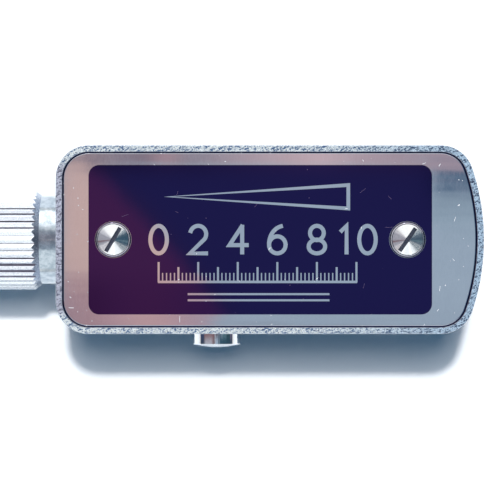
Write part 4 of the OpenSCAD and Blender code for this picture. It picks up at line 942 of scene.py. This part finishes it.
def materials():
    """Materials by name; each metal has its light and dark tone, its roughness and its grain."""
    return {
        "case_metal": metal("case_satin", (0.62, 0.65, 0.70), (0.53, 0.56, 0.61), (0.24, 0.32),
                            (0.25, 0.25, 5), 3.0, deep=0.004),
        "rim": rim_metal(),
        "plate_metal": plate_metal(),
        "panel": panel_metal(),
        "screw_metal": metal("screw_bright", (0.97, 0.97, 0.98), (0.88, 0.89, 0.90), (0.08, 0.14),
                             (1, 1, 1), 9.0, deep=0.0012),
        "collar_metal": knurl_metal("collar_nickel", (1.0, 1.0, 1.0), (0.92, 0.94, 0.98), 0.4),
        "neck": neck_metal(),
        # Painted shade: the cone is a darker, bluer copy of the collar's nickel
        "cone": metal("cone_shaded", (0.52, 0.58, 0.66), (0.36, 0.41, 0.50), (0.2, 0.32),
                      (1, 3, 3), 4.0),
        # Painted shade for the knurl's roots, with a few specks
        "groove": metal("knurl_root_shade", (0.34, 0.31, 0.38), (0.13, 0.12, 0.17), (0.45, 0.6),
                        (0.5, 3, 3), 4.0, deep=0.004),
        # Painted shade in screw slots, the groove round each plate screw's face and the plate's screw
        # recesses, with dust specks
        "slot": metal("slot_shade_and_dust", (0.26, 0.26, 0.32), (0.08, 0.12, 0.17), (0.4, 0.55),
                      (2, 2, 1), 3.0, deep=0.006, specks=0.25),
        "gap": metal("gap_shade", (0.06, 0.08, 0.26), (0.03, 0.04, 0.18), (0.4, 0.55),
                     (1, 1, 3), 4.0),
        "knob_metal": knurl_metal("knob_aluminium", (0.84, 0.85, 0.87), (0.68, 0.69, 0.72), 0.85),
        "button_metal": metal("button_chrome", (0.86, 0.87, 0.89), (0.78, 0.79, 0.82), (0.03, 0.06),
                              (1, 1, 1), 6.0, deep=0.001),
        # Painted shade: the button's face is a darker, bluer copy of its chrome
        "button_face": metal("button_face", (0.60, 0.66, 0.71), (0.48, 0.54, 0.60), (0.2, 0.3),
                             (1, 1, 1), 6.0, deep=0.001),
        "brass": metal("movement_brass", (0.80, 0.62, 0.30), (0.62, 0.45, 0.20), (0.22, 0.38),
                       (1, 6, 1), 3.0, turn=20),
        "steel": metal("movement_steel", (0.62, 0.63, 0.65), (0.46, 0.47, 0.50), (0.2, 0.34),
                       (6, 1, 1), 3.0),
        "dark_steel": metal("oiled_steel", (0.20, 0.20, 0.21), (0.10, 0.10, 0.11), (0.28, 0.42),
                            (3, 3, 1), 3.0),
        "blued_steel": metal("blued_spring", (0.12, 0.18, 0.42), (0.07, 0.09, 0.28), (0.2, 0.32),
                             (3, 1, 1), 3.0, deep=0.002),
    }


# ---- Studio ----

def floor(half=3.0):
    """White ground; the light that it scatters onto the object is cooler and dimmer."""
    mesh = bpy.data.meshes.new("floor")
    corners = [(x * half, y * half, FLOOR_Z * MM) for x, y in ((-1, -1), (1, -1), (1, 1), (-1, 1))]
    mesh.from_pydata(corners, [], [(0, 1, 2, 3)])
    obj = bpy.data.objects.new("floor", mesh)
    SCENE.collection.objects.link(obj)
    mat = bpy.data.materials.new("floor_white")
    mat.use_nodes = True
    mat.node_tree.nodes.clear()
    m = Nodes(mat.node_tree)
    path = m.add("ShaderNodeLightPath").outputs
    seen = path["Is Camera Ray"]
    for kind in ("Is Glossy Ray", "Is Transmission Ray"):
        seen = m.math("ADD", seen, path[kind], clamp=True)
    diffuse = m.add("ShaderNodeBsdfDiffuse", {"Color": m.mix(seen, (0.62, 0.71, 0.78), (1.0, 1.0, 1.0))})
    m.add("ShaderNodeOutputMaterial", {"Surface": diffuse.outputs[0]})
    mesh.materials.append(mat)


def studio_world():
    """Soft tent: white sides, and a darker opening overhead that bright metal reflects.

    A colour depends on the direction (x, y, z) of a ray. Flat faces send rays nearly straight up: there,
    0.001 of x or y is about 0.23 mm on the plate. Round sides send them far out.
    """
    world = bpy.data.worlds.new("studio")
    SCENE.world = world
    world.use_nodes = True
    world.node_tree.nodes.clear()
    m = Nodes(world.node_tree)
    step, times, mix = m.ramp, m.times, m.mix

    def sweep(value, reach, *stops):
        """Colours at places from -reach to reach."""
        node = m.add("ShaderNodeValToRGB", {"Fac": m.math("MULTIPLY_ADD", value, 0.5 / reach, 0.5)})
        ramp = node.color_ramp
        while len(ramp.elements) < len(stops):
            ramp.elements.new(0.5)
        for element, (at, color) in zip(ramp.elements, stops):
            element.position, element.color = at * 0.5 / reach + 0.5, (*color, 1)
        return node.outputs[0]

    coord = m.add("ShaderNodeTexCoord").outputs["Generated"]
    x, y, z = m.split(coord)
    plain = (0.36, 0.455, 0.57)
    white, dim = (1.0, 1.0, 1.0), (0.018, 0.084, 0.162)

    # Sideways: the collar and neck and the plate's field near the middle, turned screw faces further out
    wide = sweep(x, 1.0, (-0.90, (0.05, 0.07, 0.11)), (-0.78, (0.42, 0.43, 0.49)),
                 (-0.42, (0.44, 0.43, 0.49)), (-0.26, (0.25, 0.18, 0.20)), (-0.14, (0.17, 0.15, 0.18)),
                 (0.14, (0.11, 0.17, 0.23)), (0.22, (0.20, 0.27, 0.34)), (0.32, (0.04, 0.10, 0.15)),
                 (0.90, (0.03, 0.07, 0.11)))
    near = sweep(x, 0.2, (-0.135, (0.20, 0.17, 0.20)), (-0.122, (0.60, 0.65, 0.72)),
                 (-0.096, (0.60, 0.65, 0.72)), (-0.091, (0.27, 0.33, 0.43)), (-0.0815, (0.27, 0.33, 0.43)),
                 (-0.080, plain), (0.095, plain), (0.12, (0.24, 0.31, 0.40)), (0.14, (0.11, 0.17, 0.23)))
    sky = mix(step(m.math("ABSOLUTE", x), 0.128, 0.142), near, wide)
    case_end = (-0.0815, -0.080)
    over_case, over_collar = step(x, *case_end), step(x, *case_end[::-1])
    over_view = step(x, 0.14, 0.12)

    # The plate's far end grows darker upwards
    fade = sweep(y, 0.05, (0.004, plain), (0.015, (0.31, 0.415, 0.52)), (0.0213, (0.27, 0.36, 0.457)),
                 (0.0256, (0.19, 0.27, 0.38)), (0.0285, (0.07, 0.14, 0.24)))
    sky = mix(times(step(x, 0.0755, 0.0785), step(x, 0.12, 0.10)), sky, fade)

    # A warm patch on the plate's near end, with straight slanting borders
    lean = m.math("MAXIMUM", m.math("MULTIPLY_ADD", x, 0.9, 0.0235), m.math("MULTIPLY_ADD", x, 1.19, 0.0372))
    low = m.math("SUBTRACT", x, m.math("MULTIPLY_ADD", y, 1.44, 0.0277))
    lean = m.math("MAXIMUM", m.math("ADD", lean, y), low)
    lean = m.math("MINIMUM", lean, m.math("ADD", x, 0.070))
    warm = times(step(lean, 0.003, -0.003), over_case, step(y, -0.3, -0.2), over_view)
    pink = sweep(x, 0.1, (-0.068, (0.42, 0.27, 0.31)), (-0.0575, (0.52, 0.34, 0.39)),
                 (-0.047, (0.60, 0.39, 0.41)), (-0.036, (0.58, 0.375, 0.41)), (-0.0256, (0.49, 0.35, 0.42)))
    pink = mix(step(y, -0.004, -0.020), (0.66, 0.47, 0.45), pink)
    sky = mix(warm, sky, pink)

    # A crest along the plate's upper edge
    crest = sweep(x, 0.1, (-0.070, (0.27, 0.22, 0.27)), (-0.045, (0.26, 0.21, 0.27)),
                  (-0.036, (0.46, 0.31, 0.36)), (-0.0256, (0.28, 0.25, 0.31)), (-0.004, (0.46, 0.36, 0.42)),
                  (0.03, (0.68, 0.50, 0.55)), (0.045, (0.50, 0.38, 0.44)), (0.075, (0.42, 0.34, 0.41)))
    high = m.math("SUBTRACT", y, times(step(x, -0.068, -0.072), 0.0035))
    top = times(step(high, 0.0328, 0.036), step(y, 0.3, 0.2), over_case, over_view)
    sky = mix(top, sky, crest)

    # The button's round side, below the case
    chrome = sweep(x, 1.0, (-0.99, (0.05, 0.07, 0.14)), (-0.88, (0.05, 0.07, 0.14)),
                   (-0.84, (0.24, 0.14, 0.155)), (-0.36, (0.24, 0.14, 0.155)), (-0.20, (0.21, 0.12, 0.14)),
                   (-0.14, (0.13, 0.10, 0.12)), (0.10, (0.14, 0.15, 0.19)), (0.36, (0.11, 0.17, 0.23)),
                   (0.40, (0.20, 0.28, 0.35)), (0.46, (0.20, 0.28, 0.35)), (0.50, (0.10, 0.19, 0.23)),
                   (0.72, (0.10, 0.19, 0.23)), (0.77, (0.04, 0.085, 0.11)), (0.91, (0.04, 0.085, 0.11)),
                   (0.945, (0.19, 0.15, 0.23)), (0.98, (0.04, 0.075, 0.12)))
    strip = times(over_collar, step(x, -0.20, -0.15))
    below = times(step(y, -0.0345, -0.0365), step(y, -0.14, -0.08))
    sky = mix(times(below, m.math("SUBTRACT", 1.0, strip)), sky, chrome)

    # Bright sides beyond both long sides, wider open over the collar, and white down to the ground
    north = step(y, 0.33, 0.46)
    north = m.math("MULTIPLY_ADD", strip, m.math("SUBTRACT", step(y, 0.36, 0.85), north), north)
    sky = mix(north, sky, mix(strip, (1.1, 1.1, 1.1), (3.2, 3.25, 3.3)))
    sky = mix(step(y, -0.38, -0.48), sky, mix(strip, (0.92, 0.99, 1.04), (1.15, 1.24, 1.30)))
    sky = mix(step(z, 0.20, 0.08), sky, white)

    # Scattered light sees a dim room instead
    path = m.add("ShaderNodeLightPath").outputs
    color = mix(step(path["Diffuse Depth"], 0.4, 0.6), sky, dim)
    back = m.add("ShaderNodeBackground", {"Color": color})
    m.add("ShaderNodeOutputWorld", {"Surface": back.outputs[0]})


def lamp(name, kind, energy, color, tilt, place=(0, 0, 0)):
    """Lamp that leans over the upper long side and doesn't show in reflections."""
    light = bpy.data.lights.new(name, kind)
    light.energy, light.color = energy, color
    obj = bpy.data.objects.new(name, light)
    obj.location = place
    obj.rotation_euler = (-tilt, 0, 0)
    obj.visible_glossy = False
    SCENE.collection.objects.link(obj)
    return light


def lamps():
    key = lamp("key", "SUN", 2.3, (1.0, 1.0, 1.0), math.radians(17.4))
    key.angle = math.radians(3.6)
    tilt, away = math.radians(14), 0.5
    over = lamp("overhead", "AREA", 1.28, (0.96, 0.99, 1.03), tilt,
                (0.0287, away * math.sin(tilt), away * math.cos(tilt)))
    over.shape, over.size = "DISK", 0.19


def camera():
    """Straight in front of the rim."""
    cam = bpy.data.cameras.new("camera")
    cam.sensor_width = 36
    cam.lens = 36 / 2 / (VIEW_HALF / VIEW_AWAY)
    cam.clip_start = 0.01
    obj = bpy.data.objects.new("camera", cam)
    obj.location = (VIEW_X * MM, VIEW_Y * MM, (RIM_Z + VIEW_AWAY) * MM)
    SCENE.collection.objects.link(obj)
    SCENE.camera = obj


# ---- Assembly ----

camera()
SCENE.view_settings.view_transform = "Standard"
studio_world()
lamps()
floor()
LOOKS = materials()

for part in frame["record"]["subparts"]:
    mesh = frame["nodes"][part["node"]].data
    mesh.materials.clear()
    mesh.materials.append(LOOKS[part["material_slot"]])


def dress(piece, body, slot, looks, *nodes):
    """Gives a piece its materials, numbered in the order of looks, its body and CAD nodes; slot is not used.
    """
    for look in looks.split():
        piece.data.materials.append(LOOKS[look])
    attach(piece, body)
    if nodes:
        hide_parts(*nodes)


dress(case_shell(), "case", "case_metal", "case_metal rim gap", "case_shell")
dress(name_plate(), "case", "plate_metal", "plate_metal slot", "name_plate")
dress(panel(), "case", "plate_metal", "panel")
dress(panel_marks(), "case", "plate_metal", "plate_metal")
for name, x, angle in SCREWS:
    front, back = plate_screw(f"plate_screw_{name}", x, angle), back_screw(f"back_screw_{name}", x)
    dress(front, "case", "screw_metal", "screw_metal slot", "plate_screws")
    dress(back, "case", "screw_metal", "screw_metal slot", "back_screws")
dress(coupling_collar(), "collar", "collar_metal", "collar_metal neck cone groove", "coupling_collar")
dress(release_tip(), "collar", "collar_metal", "neck", "release_tip")
dress(release_pin(), "plunger", "steel", "steel", "plunger_pin")
dress(winding_knob(), "winder", "knob_metal", "knob_metal", "winding_knob")
dress(knob_screw(), "winder", "screw_metal", "screw_metal slot", "knob_screw")
dress(start_button(), "button", "button_metal", "button_metal button_face", "start_button")
